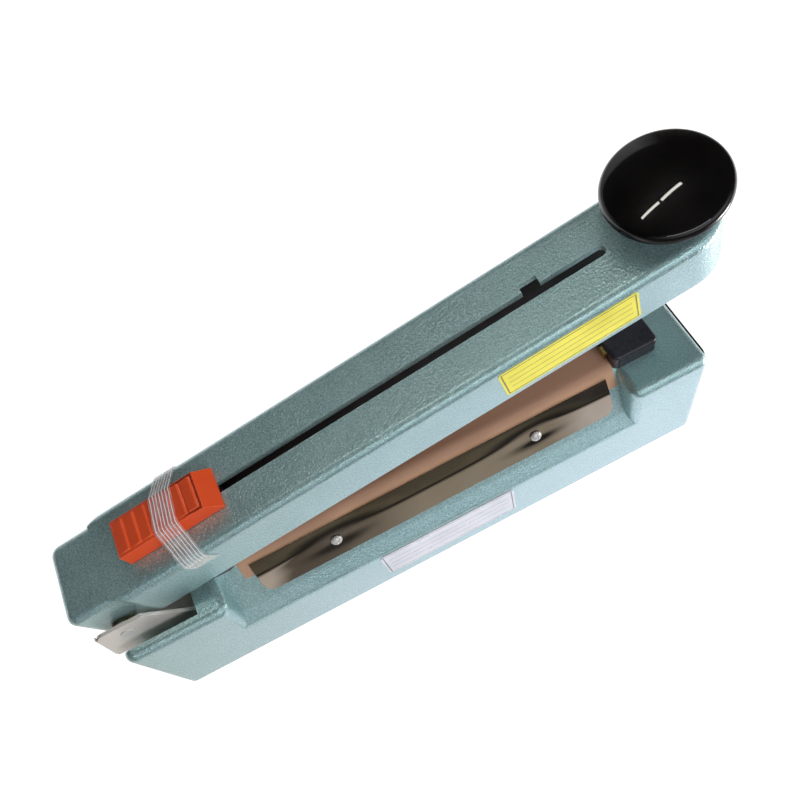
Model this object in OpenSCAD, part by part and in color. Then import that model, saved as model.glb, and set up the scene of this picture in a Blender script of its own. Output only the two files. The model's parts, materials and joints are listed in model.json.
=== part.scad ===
// Hand impulse sealer with a sliding cutter, resting with its arm raised.
// Millimetres, +Z up, +X towards the handle knob, -Y towards the user.
// Pieces are drawn with x from the rear face of the base and z from its lower edge.
// Arm pieces are drawn with the jaw shut and then turned about the hinge to the raised pose.

/* [Base] */
// Length of the base housing
base_l = 322; // [300:1:350]
// Width of the base housing
base_w = 78; // [76:1:90]
// Height of the raised ends of the base
base_h = 75; // [73:1:82]
// Wall thickness of the base casting
wall = 3; // [2.4:0.1:3.6]
// Rounding of the outer edges of the base
edge_r = 5; // [2:0.5:5]
// Rounding of the upright corners of the base and of the arm's rear
corner_r = 5.5; // [5.5:0.5:9]
// Length of the raised rear end
rear_end_l = 55; // [53:1:60]
// Length of the raised front end
front_end_l = 43; // [38:1:48]
// Height of the ledges beside the seal bed
ledge_z = 50; // [47:1:52]
// How far the ledges fall for each millimetre outwards
ledge_fall = 1.2; // [0.8:0.1:1.4]
// Rounding of the ledges' outer edges
ledge_r = 6; // [2:0.5:8]
// Length of the open well for the hinge
well_l = 41; // [40:0.5:43]
// Width of the open well for the hinge
well_w = 66; // [60:1:68]
// Height of the floor of the hinge well
well_z = 44; // [42:0.5:46]
// Thickness of the bottom plate
bottom_t = 1.5; // [1:0.1:2]
// Height of the rubber feet
foot_h = 5; // [3:0.5:8]
// Diameter of the rubber feet
foot_d = 14; // [10:0.5:18]

/* [Seal bed] */
// Height of the bed above the raised ends
bed_rise = 2.6; // [2:0.1:4]
// Half width of the bed at its rounded shoulders
bed_half = 18.9; // [18:0.1:19.5]
// Radius of the shoulders of the bed
shoulder_r = 4.5; // [3:0.1:5]
// Slope of the upper side of the bed, from upright
upper_lean = 32.9; // [30:0.1:35]
// Slope of the lower side of the bed, from upright
lower_lean = 23; // [20:0.5:26]
// Height of the bend between the two slopes
bend_z = 64.6; // [63:0.1:66]
// Thickness of the slippery cloth over the bed
cloth_t = 0.35; // [0.2:0.05:0.5]
// Width of the cutter guide along the bed
guide_w = 10.4; // [9:0.1:11]
// Depth of the cutter guide
guide_h = 7; // [6:0.5:8]
// Width of the groove that the blade runs in
groove_w = 2.4; // [1.6:0.1:3]
// Width of the heating ribbons
ribbon_w = 5; // [3:0.5:6]
// Thickness of the heating ribbons
ribbon_t = 0.2; // [0.1:0.05:0.3]
// Thickness of the insulation under the ribbons
insulation_t = 0.5; // [0.3:0.05:0.8]
// Length of the front terminal block
front_block_l = 25; // [20:0.5:27]
// Length of the rear terminal block
rear_block_l = 20.5; // [18:0.5:21]
// Height of the terminal blocks
block_h = 10; // [8:0.5:12]

/* [Clamp plates] */
// Length of the clamp plates
plate_l = 201; // [180:1:205]
// Thickness of the clamp plates
plate_t = 1; // [0.8:0.1:1.2]
// Width of the upper facet of a clamp plate
plate_up = 8.9; // [8:0.1:9.5]
// Width of the lower facet of a clamp plate
plate_low = 13.5; // [11:0.1:14]
// Rounding of the lower corners of a clamp plate
plate_r = 6; // [2:0.5:8]
// Distance between the screws of a clamp plate
plate_screw_pitch = 114; // [100:1:130]

/* [Arm] */
// Width of the arm
arm_w = 47.6; // [46.8:0.1:49]
// Height of the arm
arm_h = 30; // [28:0.5:34]
// Side wall of the arm
arm_wall = 2.6; // [2.2:0.1:2.8]
// Top wall of the arm
arm_top_t = 3.5; // [3:0.1:4]
// Rounding of the top edges of the arm
arm_r = 4.5; // [2:0.1:4.6]
// Overhang of the arm behind the base
arm_tail = 5; // [4:0.5:7]
// Width of the narrow rear of the arm
neck_w = 42; // [41:0.1:43]
// Length of the narrow rear of the arm
neck_l = 24; // [23:0.5:26]
// Gap between the shut arm and the raised ends
shut_gap = 1; // [0.6:0.1:1.6]
// Angle of the raised arm
open_deg = 9.35; // [6:0.05:10]
// Width of the cutter slot in the arm
slot_w = 5.5; // [5:0.1:6]
// Diameter of the handle knob
knob_d = 54; // [48:1:60]
// Height of the handle knob
knob_h = 26.5; // [25:0.5:30]
// Place of the knob's axis, ahead of the rear of the base
knob_x = 320; // [314:0.5:322]
// Thickness of the silicone rubber strips
rubber_t = 2; // [1.5:0.1:3]

/* [Hinge] */
// Place of the hinge axis, ahead of the rear of the base
hinge_x = 8; // [7:0.5:9]
// Height of the hinge axis
hinge_z = 80; // [79:0.5:82]
// Diameter of the hinge pin
pin_d = 6; // [5:0.5:7]
// Gap between the arm's neck and each cheek of the bracket
cheek_gap = 4; // [3:0.1:5]
// Thickness of the hinge bracket's sheet
bracket_t = 1.8; // [1.5:0.1:2]
// Distance of the push rod from the rear of the base
rod_x = 31; // [30:0.5:31.5]
// Diameter of the push rod
rod_d = 5; // [4:0.5:5.5]
// Mean diameter of the lifting spring
spring_d = 11.5; // [11:0.1:12]
// Wire of the lifting spring
spring_wire = 1.8; // [1.2:0.1:2]
// Curls of the lifting spring
spring_curls = 7; // [5:1:8]

/* [Cutter] */
// Length of the cutter's thumb piece
slider_l = 52; // [48:0.2:54]
// Width of the thumb piece at its foot
slider_w = 21; // [19:0.2:23]
// Height of the thumb piece, ribs included
slider_h = 9.7; // [8:0.1:11]
// Number of ribs across the thumb piece
slider_ribs = 7; // [4:1:8]
// Travel of the cutter along the slot
cutter_travel = 195; // [150:1:197]
// Thickness of the blade
blade_t = 0.5; // [0.4:0.05:0.8]
// Width of the tape that holds the thumb piece for transport
tape_w = 12.5; // [8:0.5:18]

/* [Control end] */
// Width of the front panel
panel_w = 66; // [62:1:68]
// Thickness of the front panel
panel_t = 1; // [1:0.1:2]
// Diameter of the timer dial
dial_d = 32; // [26:1:36]
// Length of the timer dial
dial_l = 11; // [9:0.5:12]
// Diameter of the pilot lamp
lamp_d = 9; // [6:0.5:10]
// Diameter of the cord's way in
cord_d = 6.5; // [5:0.5:8]

/* [Hidden] */
$fn = 64;
// A hair past a face, so that cuts run clean through
eps = 0.1;
// Gap between pieces that slide past each other
slide_gap = 0.3;
// Radial gap of a turning or sliding fit
run_gap = 0.05;

// Bed: heights, and the points of its side as [distance from the middle, height]
bed_top = base_h + bed_rise;
bed_x0 = rear_end_l + 11.5;
bed_x1 = base_l - front_end_l - 1;
shoulder_c = [bed_half - shoulder_r, bed_top - shoulder_r];
upper_n = [cos(upper_lean), sin(upper_lean)];
lower_n = [cos(lower_lean), sin(lower_lean)];
upper_down = [sin(upper_lean), -cos(upper_lean)];
lower_down = [sin(lower_lean), -cos(lower_lean)];
shoulder_end = shoulder_c + shoulder_r * upper_n;
bed_bend = shoulder_end + (shoulder_end[1] - bend_z) / cos(upper_lean) * upper_down;
bed_foot = bed_bend + (bend_z - ledge_z) / cos(lower_lean) * lower_down;
ledge_low = ledge_z - ledge_fall * (base_w / 2 - bed_foot[0]);
cloth_top = bed_top + cloth_t;
cloth_tuck = 7.6;
guide_floor = 1.6;
ribbon_y = 11;
insulation_w = ribbon_w + 2;
terminal_t = 1.5;
terminal_h = 5;
block_x = [bed_x0 - rear_block_l, bed_x1];
block_screw_y = 14;

// Clamp plates
plate_x0 = (bed_x0 + bed_x1 - plate_l) / 2;
plate_screw_x = [for (s = [-1, 1]) (bed_x0 + bed_x1 + s * plate_screw_pitch) / 2];
plate_screw_drop = 2.5;
plate_gap = 0.02;

// Screws: M3 with round heads
screw_r = 1.45;
screw_hole_r = 1.5;
clear_hole_r = 1.65;
head_d = 6;
head_h = 2;

// Base inside
ceiling_z = well_z - wall;
hump_ceiling = bed_top - guide_h - 4;
hump_half = bed_half - shoulder_r;
front_ceiling = base_h - wall;
front_x0 = base_l - front_end_l + wall;
boss_inset = 13;
boss_d = 8;
bottom_screw_l = 12;
boss_y = base_w / 2 - wall - boss_d / 2 + 1;
boss_x = [boss_inset, base_l - boss_inset - 8];
plate_rim = 1.5;
plate_fit = 0.2;
foot_inset = 30;
foot_y = base_w / 2 - wall - foot_d / 2 - 1;
foot_stem_d = 5;
gland_z = 22;
gland_r = cord_d / 2 + 2.75;

// Arm, jaw shut
arm_x0 = -arm_tail;
arm_half = arm_w / 2;
arm_in = arm_half - arm_wall;
arm_bot = base_h + shut_gap;
arm_top = arm_bot + arm_h;
arm_roof = arm_top - arm_top_t;
knob_lead = 1.8;
nose_x = knob_x - knob_lead;
neck_half = neck_w / 2;
neck_wall = 3.5;
neck_in = neck_half - neck_wall;
neck_x1 = arm_x0 + neck_l;
neck_ramp = 8;
lug_r = 8;
bush_r = pin_d / 2 + 1.5;
bush_flange_r = bush_r + 1.5;
bush_flange_t = 1.5;
cheek_in = neck_half + cheek_gap;
cheek_out = cheek_in + bracket_t;
washer_r = bush_flange_r;
cheek_back = 12;
cheek_reach = 31.5;
cheek_rise = 10;
cheek_drop = 20;
cheek_lean = 4.2;
cheek_front_h = 19;
cheek_flat = 12;
cheek_tail = hinge_x - cheek_back;
cheek_front = hinge_x + cheek_reach;
cheek_top = hinge_z + cheek_rise;
cheek_low = hinge_z - cheek_drop;
cheek_r = 4;
bracket_x0 = hinge_x - 3;
bracket_screw_x = [3, 13];
bracket_screw_y = cheek_in - 8;
pin_head_h = 0.5;
pin_head_r = pin_d / 2 + 0.5;
block_half = arm_in - 2 * slide_gap;
block_corner_r = 3.5;
block_edge_r = 2;

// Pressure bars and rubber
rubber_z = cloth_top + slide_gap;
bar_z = rubber_z + rubber_t;
bar_in = 7;
bar_w = 8;
bar_t = 1.5;
bar_margin = 4;
bar_x0 = bed_x0 + bar_margin;
bar_x1 = bed_x1 - bar_margin;
rubber_inset = 0.5;

// Lifting spring, push rod and switch lever
boss_r = spring_d / 2 + spring_wire / 2 + 1.5;
boss_z = hinge_z;
bracket_floor = well_z + bracket_t;
rod_reach = rod_x - hinge_x;
rod_rest_z = boss_z + rod_reach * sin(open_deg) - slide_gap;
rod_travel = rod_reach * sin(open_deg);
rod_tip_r = 1;
rod_tip_h = 2;
spring_top = boss_z + (rod_reach - boss_r) * sin(open_deg) - slide_gap;
lever_z = ceiling_z - 4;
lever_t = 0.6;
lever_pivot_back = 14;
lever_pivot_x = rod_x - lever_pivot_back;
lever_l = 18;
lever_pin_r = 1;
lever_pin_z = lever_z - lever_t - 1.8;
switch_top = lever_z - rod_travel - 3.5;
switch_h = 13;
switch_w = 6.4;
rib_t = 4;

// Cutter, at its rear stop
slider_x0 = 36;
slider_gap = slide_gap;
slider_z = arm_top + slider_gap;
slider_side = 1;
slider_bevel = 6.5;
slider_pitch = 6.2;
slider_lip = 1.5;
pad_h = 1;
pad_margin = 1.5;
stem_inset = 21.3;
stem_x0 = slider_x0 + stem_inset;
stem_l = 27;
cutter_screw_x = [3.2, 9.4];
stem_half = slot_w / 2 - slide_gap;
shoe_half = bar_in - 1;
shoe_top = arm_roof - slide_gap;
shoe_h = 9;
blade_inset = 19.7;
blade_x = stem_x0 + blade_inset;
blade_l = 10;
carrier_h = 7;
carrier_margin = 2;
carrier_half = 3;
blade_grip = 6;
blade_tip = bed_top - guide_h + guide_floor + 1.5;
slot_x0 = stem_x0 - 2;
slot_x1 = stem_x0 + stem_l + cutter_travel + 10.5;
tongue_x1 = slot_x1 + 9;
tongue_z = base_h + block_h + 3;
notch_back = 40;
notch_x = slot_x1 - notch_back;
notch_l = 9;
notch_y = 7;

// Knob
rim_r = 4;
rim_z = 17;
rim_c = knob_d / 2 - rim_r;
dome_rise = knob_h - rim_z;
dome_r = (rim_c * rim_c + dome_rise * dome_rise - rim_r * rim_r) / (2 * (dome_rise - rim_r));
dome_reach = dome_r / (dome_r - rim_r);
knob_neck_r = 9;
stud_r = 4;
stud_grip = 13;
nut_h = 6.5;
nut_r = 7.5;

// Control end
panel_low = 4;
panel_drop = 4;
panel_h = base_h - panel_drop - panel_low;
panel_x = base_l;
panel_r = 3;
window_w = panel_w - 12;
window_z0 = panel_low + 10;
window_z1 = front_ceiling - 8;
panel_screw_y = panel_w / 2 - 3;
panel_screw_z = [panel_low + 5, front_ceiling - 11];
dial_z = 31;
lamp_z = dial_z + dial_d / 2 + 7;
lamp_stem_l = 8;
spindle_r = 3;
dial_gap = 0.5;
board_t = 1.6;
board_back = 11;
board_x = base_l - board_back;
board_w = window_w - 8;
board_z0 = window_z0 + 2;
board_z1 = window_z1 - 2;
spacer_d = 5;
pot_d = 17;
pot_l = 6;
dial_skirt = 3;
dial_grip_d = dial_d - 10;
dial_flutes = 12;
dial_bevel = 1;

// Transformer
core_l = 57;
core_w = 32;
core_h = 40;
core_x = 160;
core_leg = 9.5;
coil_gap = 0.3;
coil_bulge = 11;

// Labels
plate_label_l = 79;
plate_label_h = 30;
plate_label_x = 129;
plate_label_z = 10;
plate_label_t = 0.4;
arm_label_l = 69;
arm_label_h = 22.4;
arm_label_x = 221.5;
arm_label_z = 3.3;
arm_label_t = 0.2;

// Transport tape
tape_t = 0.3;
tape_drop = 11;
tape_inset = 22.2;
tape_x = slider_x0 + tape_inset;

// Overall reach, from which the origin sits under the middle
tail_x = hinge_x + (arm_x0 + arm_r - hinge_x) * cos(open_deg)
    - (arm_top - arm_r - hinge_z) * sin(open_deg) - arm_r;
rim_x = hinge_x + (knob_x + rim_c - hinge_x) * cos(open_deg)
    - (arm_top + rim_z - hinge_z) * sin(open_deg) + rim_r;
nose_tip_x = hinge_x + (nose_x + arm_half - hinge_x) * cos(open_deg) - (arm_bot - hinge_z) * sin(open_deg);
mid_x = (tail_x + max(rim_x, nose_tip_x)) / 2;

// Points on an arc about c, from angle a0 to a1 in n steps
function arc(c, r, a0, a1, n) = [for (i = [0:n]) let (a = a0 + (a1 - a0) * i / n) c + r * [cos(a), sin(a)]];
// A point s above (or below) the bend of the bed's side, t proud of it
function bed_side(s, t) = s > 0 ? bed_bend - s * upper_down + t * upper_n
    : s < 0 ? bed_bend - s * lower_down + t * lower_n
    : bed_bend + t * (upper_n + lower_n) / (1 + upper_n * lower_n);
function swap(p) = [for (i = [len(p) - 1:-1:0]) p[i]];
function across(p) = [for (q = p) [-q[0], q[1]]];

// Moves a piece from the base's corner to the shared origin
module place() {
    translate([-mid_x, 0, foot_h]) children();
}

// Turns an arm piece from the shut jaw to the raised pose
module raise() {
    place() translate([hinge_x, 0, hinge_z]) rotate([0, -open_deg, 0])
        translate([-hinge_x, 0, -hinge_z]) children();
}

// A [y, z] outline carried from x0 to x1
module along_x(x0, x1) {
    translate([x0, 0, 0]) rotate([90, 0, 90]) linear_extrude(x1 - x0) children();
}

// An [x, z] outline carried from y0 to y1
module along_y(y0, y1) {
    translate([0, y1, 0]) rotate([90, 0, 0]) linear_extrude(y1 - y0) children();
}

module both_sides() {
    children();
    mirror([0, 1, 0]) children();
}

// A box from corner a to corner b
module block(a, b) {
    translate(a) cube(b - a);
}

// An upright outline of width w and height h with rounded top corners
module round_top(w, h, r) {
    translate([-w / 2, 0]) square([w, h - r]);
    translate([-w / 2 + r, 0]) square([w - 2 * r, h]);
    for (s = [-1, 1]) translate([s * (w / 2 - r), h - r]) circle(r);
}

module round_rect(a, b, r) {
    translate([a[0] + r, a[1]]) square([b[0] - a[0] - 2 * r, b[1] - a[1]]);
    translate([a[0], a[1] + r]) square([b[0] - a[0], b[1] - a[1] - 2 * r]);
    for (x = [a[0] + r, b[0] - r], y = [a[1] + r, b[1] - r]) translate([x, y]) circle(r);
}

// A casting on z = 0 from corner a to corner b, with upright corners of radius r and a top edge of radius e
module cast_block(a, b, h, r, e) {
    along_x(a[0] + r, b[0] - r) translate([(a[1] + b[1]) / 2, 0]) round_top(b[1] - a[1], h, e);
    along_y(a[1] + r, b[1] - r) translate([(a[0] + b[0]) / 2, 0]) round_top(b[0] - a[0], h, e);
    for (x = [a[0] + r, b[0] - r], y = [a[1] + r, b[1] - r]) translate([x, y, 0])
        rotate_extrude() intersection() {
            round_top(2 * r, h, e);
            square([r, h]);
        }
}

// What is cut away to round a corner at the origin that opens to +x, +y
module corner(r) {
    difference() {
        translate([-eps, -eps]) square(r + eps);
        translate([r, r]) circle(r);
    }
}

// A pin across the machine, centred on the middle plane
module cross_pin(r, half) {
    rotate([90, 0, 0]) cylinder(r = r, h = 2 * half, center = true);
}

// A round-headed screw that stands on z = 0 with its shank below
module screw(l) {
    rotate_extrude() intersection() {
        round_top(head_d, head_h, head_h * 0.7);
        square([head_d, head_h]);
    }
    translate([0, 0, -l]) cylinder(r = screw_r, h = l);
}

// Bed outline over one half, from the middle plane
module bed_half_outline() {
    polygon(concat([[0, ledge_z], bed_foot, bed_bend],
        arc(shoulder_c, shoulder_r, upper_lean, 90, 8), [[0, bed_top]]));
}

// Outline over one half below the ledge, with the ledge's outer edge rounded
module ledge_half_outline() {
    lean = atan(1 / ledge_fall);
    centre = [base_w / 2 - ledge_r, ledge_low - ledge_r * tan(lean / 2)];
    polygon(concat([[0, 0], [base_w / 2, 0]], arc(centre, ledge_r, 0, lean, 8), [bed_foot, [0, ledge_z]]));
}

// The base without its hollows: a body as high as the ledges, a middle ridge and two raised ends
module base_outside() {
    front = base_l - front_end_l;
    intersection() {
        cast_block([0, -base_w / 2], [base_l, base_w / 2], base_h, corner_r, edge_r);
        both_sides() along_x(0, base_l) ledge_half_outline();
    }
    both_sides() along_x(rear_end_l - corner_r, front + corner_r) intersection() {
        bed_half_outline();
        square([base_w, base_h]);
    }
    both_sides() along_x(bed_x0, bed_x1) bed_half_outline();
    cast_block([0, -base_w / 2], [rear_end_l, base_w / 2], base_h, corner_r, edge_r);
    cast_block([front, -base_w / 2], [base_l, base_w / 2], base_h, corner_r, edge_r);
}

// Outline of the base seen from above, inset by a rim
module bottom_outline(rim) {
    round_rect([rim, -base_w / 2 + rim], [base_l - rim, base_w / 2 - rim], corner_r - rim);
}

module base_cavity() {
    in = base_w / 2 - wall;
    block([wall, -in, -eps], [base_l - wall, in, ceiling_z]);
    block([well_l + wall, 1 - bed_foot[0], 0], [base_l - wall, bed_foot[0] - 1, ledge_z - wall]);
    block([well_l + wall, -hump_half, 0], [front_x0 + eps, hump_half, hump_ceiling]);
    block([front_x0, -in, 0], [base_l - wall, in, front_ceiling]);
    translate([0, 0, -eps]) linear_extrude(bottom_t + eps) bottom_outline(plate_rim);
}

// A hole square to the lower facet of a clamp plate, at the middle of its screw
module plate_screw_at() {
    seat = bed_side(-plate_screw_drop, plate_gap + cloth_t + plate_t);
    for (x = plate_screw_x) both_sides()
        translate([x, seat[0], seat[1]]) rotate([lower_lean - 90, 0, 0]) children();
}

module base_housing() {
    color("cadetblue") place() difference() {
        union() {
            difference() {
                base_outside();
                block([-eps, -well_w / 2, well_z], [well_l, well_w / 2, base_h + eps]);
                base_cavity();
            }
            for (x = boss_x) both_sides() translate([x, boss_y, bottom_t])
                cylinder(d = boss_d, h = ceiling_z - bottom_t + eps);
            block([lever_pivot_x - 3, switch_w / 2, switch_top - switch_h],
                [lever_pivot_x + lever_l + 2, switch_w / 2 + rib_t, ceiling_z + eps]);
        }
        for (x = boss_x) both_sides() translate([x, boss_y, -eps])
            cylinder(r = screw_hole_r, h = bottom_screw_l + 2 + eps);
        block([bed_x0 - eps, -guide_w / 2, bed_top - guide_h], [bed_x1 + eps, guide_w / 2, bed_top + eps]);
        both_sides() block([bed_x0 - eps, ribbon_y - insulation_w / 2, bed_top - insulation_t - ribbon_t],
            [bed_x1 + eps, ribbon_y + insulation_w / 2, bed_top + eps]);
        plate_screw_at() translate([0, 0, -12]) cylinder(r = screw_hole_r, h = 13);
        translate([rod_x, 0, ceiling_z - eps]) cylinder(r = rod_d / 2 + run_gap, h = wall + 2 * eps);
        block_screw_at() cylinder(r = clear_hole_r, h = base_h);
        bracket_screw_at() translate([0, 0, -12]) cylinder(r = screw_hole_r, h = 13);
        block([base_l - wall - eps, -window_w / 2, window_z0], [base_l + eps, window_w / 2, window_z1]);
        panel_screw_at() translate([0, 0, -wall - 2]) cylinder(r = screw_hole_r, h = wall + 3);
        translate([-eps, 0, gland_z]) rotate([0, 90, 0]) cylinder(r = gland_r, h = wall + 2 * eps);
    }
}

// Bottom plate, its screws and the feet
module at_feet() {
    for (x = [foot_inset, base_l - foot_inset]) both_sides() translate([x, foot_y, 0]) children();
}

module bottom_plate() {
    color("silver") place() difference() {
        linear_extrude(bottom_t) bottom_outline(plate_rim + plate_fit);
        for (x = boss_x) both_sides() translate([x, boss_y, -eps])
            cylinder(r = clear_hole_r, h = bottom_t + 2 * eps);
        at_feet() translate([0, 0, -eps]) cylinder(d = foot_stem_d + 2 * run_gap, h = bottom_t + 2 * eps);
    }
}

module bottom_screws() {
    color("silver") place() for (x = boss_x) both_sides()
        translate([x, boss_y, 0]) rotate([180, 0, 0]) screw(bottom_screw_l);
}

module rubber_feet() {
    color("dimgray") place() at_feet() {
        translate([0, 0, -foot_h]) rotate_extrude() intersection() {
            mirror([0, 1]) translate([0, -foot_h]) round_top(foot_d, foot_h, 1);
            square([foot_d, foot_h]);
        }
        cylinder(d = foot_stem_d, h = bottom_t);
        translate([0, 0, bottom_t]) cylinder(d = foot_stem_d + 2, h = 1);
    }
}

module nameplate() {
    color("white") place() along_y(-base_w / 2 - plate_label_t, -base_w / 2)
        round_rect([plate_label_x, plate_label_z],
            [plate_label_x + plate_label_l, plate_label_z + plate_label_h], 3);
}

// Front panel and what it carries
module panel_screw_at() {
    for (z = panel_screw_z) both_sides()
        translate([panel_x, panel_screw_y, z]) rotate([0, 90, 0]) children();
}

module front_panel() {
    color("black") place() difference() {
        along_x(panel_x, panel_x + panel_t)
            round_rect([-panel_w / 2, panel_low], [panel_w / 2, panel_low + panel_h], panel_r);
        panel_screw_at() translate([0, 0, -eps]) cylinder(r = clear_hole_r, h = panel_t + 2 * eps);
        translate([panel_x - eps, 0, dial_z]) rotate([0, 90, 0])
            cylinder(r = spindle_r + 0.5, h = panel_t + 2 * eps);
        translate([panel_x - eps, 0, lamp_z]) rotate([0, 90, 0])
            cylinder(d = lamp_d - 2, h = panel_t + 2 * eps);
    }
}

module panel_screws() {
    color("silver") place() panel_screw_at() translate([0, 0, panel_t]) screw(panel_t + wall + 1);
}

module pilot_lamp() {
    stem_r = lamp_d / 2 - 1 - run_gap;
    color("red") place() translate([panel_x + panel_t, 0, lamp_z]) rotate([0, 90, 0]) {
        rotate_extrude() intersection() {
            round_top(lamp_d, 3, 2);
            square([lamp_d, 3]);
        }
        translate([0, 0, -panel_t - lamp_stem_l]) cylinder(r = stem_r, h = panel_t + lamp_stem_l);
    }
}

module spacer_at() {
    for (z = [board_z0 + spacer_d, board_z1 - spacer_d]) both_sides()
        translate([board_x, board_w / 2 - spacer_d, z]) rotate([0, 90, 0]) children();
}

module timer_board() {
    color("seagreen") place() difference() {
        block([board_x - board_t, -board_w / 2, board_z0], [board_x, board_w / 2, board_z1]);
        translate([board_x - board_t - eps, 0, dial_z]) rotate([0, 90, 0])
            cylinder(r = spindle_r + 0.5, h = board_t + 2 * eps);
    }
}

module timer_pot() {
    color("gray") place() translate([board_x, 0, dial_z]) rotate([0, 90, 0]) difference() {
        cylinder(d = pot_d, h = pot_l);
        translate([0, 0, -eps]) cylinder(r = spindle_r + run_gap, h = pot_l + 2 * eps);
    }
}

module board_spacers() {
    color("white") place() spacer_at() cylinder(d = spacer_d, h = panel_x - board_x);
}

module timer_dial() {
    dial_x = panel_x + panel_t + dial_gap;
    color("black") place() translate([dial_x, 0, dial_z]) rotate([0, 90, 0]) difference() {
        union() {
            cylinder(d = dial_d, h = dial_skirt);
            cylinder(d = dial_grip_d, h = dial_l - dial_bevel);
            translate([0, 0, dial_l - dial_bevel])
                cylinder(d1 = dial_grip_d, d2 = dial_grip_d - 2 * dial_bevel, h = dial_bevel);
        }
        translate([0, 0, -eps]) cylinder(r = spindle_r + run_gap, h = dial_l - 3 + eps);
        for (i = [1:dial_flutes - 1]) rotate(i * 360 / dial_flutes)
            translate([dial_grip_d / 2 + 0.6, 0, dial_skirt + 0.8]) cylinder(r = 1.6, h = dial_l);
    }
}

module dial_spindle() {
    color("silver") place() translate([board_x - board_t - 1, 0, dial_z]) rotate([0, 90, 0])
        cylinder(r = spindle_r, h = panel_x + panel_t + dial_gap + dial_l - 3.2 - board_x + board_t + 1);
}

// Transformer, switch and cord inlet inside the base
module transformer_core() {
    window_l = (core_l - 4 * core_leg) / 2;
    color("slategray") place() translate([core_x, -core_w / 2, bottom_t]) difference() {
        cube([core_l, core_w, core_h]);
        for (x = [core_leg, core_l - core_leg - window_l]) translate([x, -eps, core_leg])
            cube([window_l, core_w + 2 * eps, core_h - 2 * core_leg]);
    }
}

module transformer_coil() {
    window_l = (core_l - 4 * core_leg) / 2;
    low = [core_x + core_leg + coil_gap, -core_w / 2 - coil_bulge, bottom_t + core_leg + coil_gap];
    high = [core_x + core_l - core_leg - coil_gap, core_w / 2 + coil_bulge,
        bottom_t + core_h - core_leg - coil_gap];
    color("peru") place() difference() {
        block(low, high);
        block([low[0] + window_l - coil_gap, -core_w / 2 - coil_gap, low[2] - eps],
            [high[0] - window_l + coil_gap, core_w / 2 + coil_gap, high[2] + eps]);
    }
}

module microswitch() {
    x1 = lever_pivot_x + lever_l + 2;
    ear = 1.2;
    color("black") place() {
        block([lever_pivot_x - 3, -switch_w / 2, switch_top - switch_h], [x1, switch_w / 2, switch_top]);
        for (s = [-1, 1]) block([lever_pivot_x - 2, s * (switch_w - ear) / 2 - ear / 2, switch_top - eps],
            [lever_pivot_x + 2, s * (switch_w - ear) / 2 + ear / 2, lever_z - lever_t]);
        translate([lever_pivot_x, 0, lever_pin_z]) cross_pin(lever_pin_r, switch_w / 2);
    }
}

module switch_lever() {
    color("silver") place() difference() {
        half = switch_w / 2 - 1.2 - slide_gap;
        union() {
            block([lever_pivot_x, -half, lever_z - lever_t], [lever_pivot_x + lever_l, half, lever_z]);
            translate([lever_pivot_x, 0, lever_pin_z]) cross_pin(lever_pin_r + 0.9, half);
            block([lever_pivot_x - 1, -half, lever_pin_z], [lever_pivot_x + 1, half, lever_z]);
        }
        translate([lever_pivot_x, 0, lever_pin_z]) cross_pin(lever_pin_r + run_gap, half + eps);
    }
}

module cord_gland() {
    color("dimgray") place() translate([0, 0, gland_z]) rotate([0, 90, 0]) difference() {
        union() {
            translate([0, 0, -2]) cylinder(r = gland_r + 2, h = 2);
            translate([0, 0, -eps]) cylinder(r = gland_r - run_gap, h = wall + eps);
            translate([0, 0, wall]) cylinder(r = gland_r + 1, h = 4);
        }
        translate([0, 0, -3]) cylinder(d = cord_d, h = wall + 8);
    }
}

// Hinge
module bracket_screw_at() {
    for (x = bracket_screw_x) both_sides()
        translate([hinge_x + x, bracket_screw_y, bracket_floor]) children();
}

module cheek_outline() {
    difference() {
        polygon([[cheek_front, well_z], [cheek_front, well_z + cheek_front_h],
            [hinge_x + cheek_flat, cheek_top], [cheek_tail, cheek_top],
            [cheek_tail - cheek_lean, cheek_low], [hinge_x - 8, cheek_low - 2],
            [bracket_x0, well_z + 8], [bracket_x0, well_z]]);
        translate([cheek_tail, cheek_top]) mirror([0, 1]) corner(cheek_r);
        translate([cheek_tail - cheek_lean, cheek_low]) corner(cheek_r);
        translate([hinge_x, hinge_z]) circle(pin_d / 2 + run_gap);
    }
}

module hinge_bracket() {
    color("gainsboro") place() {
        difference() {
            block([bracket_x0, -cheek_out, well_z], [well_l - 0.5, cheek_out, bracket_floor]);
            translate([rod_x, 0, well_z - eps])
                cylinder(r = rod_d / 2 + slide_gap, h = bracket_t + 2 * eps);
            bracket_screw_at() translate([0, 0, -bracket_t - eps])
                cylinder(r = clear_hole_r, h = bracket_t + 2 * eps);
        }
        both_sides() along_y(cheek_in, cheek_out) cheek_outline();
    }
}

module bracket_screws() {
    color("silver") place() bracket_screw_at() screw(8);
}

module hinge_pin() {
    color("silver") place() translate([hinge_x, 0, hinge_z]) {
        cross_pin(pin_d / 2, cheek_out + eps);
        both_sides() translate([0, cheek_out, 0]) rotate([-90, 0, 0]) rotate_extrude() intersection() {
            round_top(2 * pin_head_r, pin_head_h, pin_head_h * 0.9);
            square(pin_head_r);
        }
    }
}

module hinge_washers() {
    low = neck_half + bush_flange_t + slide_gap;
    color("silver") place() both_sides() translate([hinge_x, (low + cheek_in) / 2, hinge_z]) difference() {
        cross_pin(washer_r, (cheek_in - low) / 2);
        cross_pin(pin_d / 2 + run_gap, cheek_in);
    }
}

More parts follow.
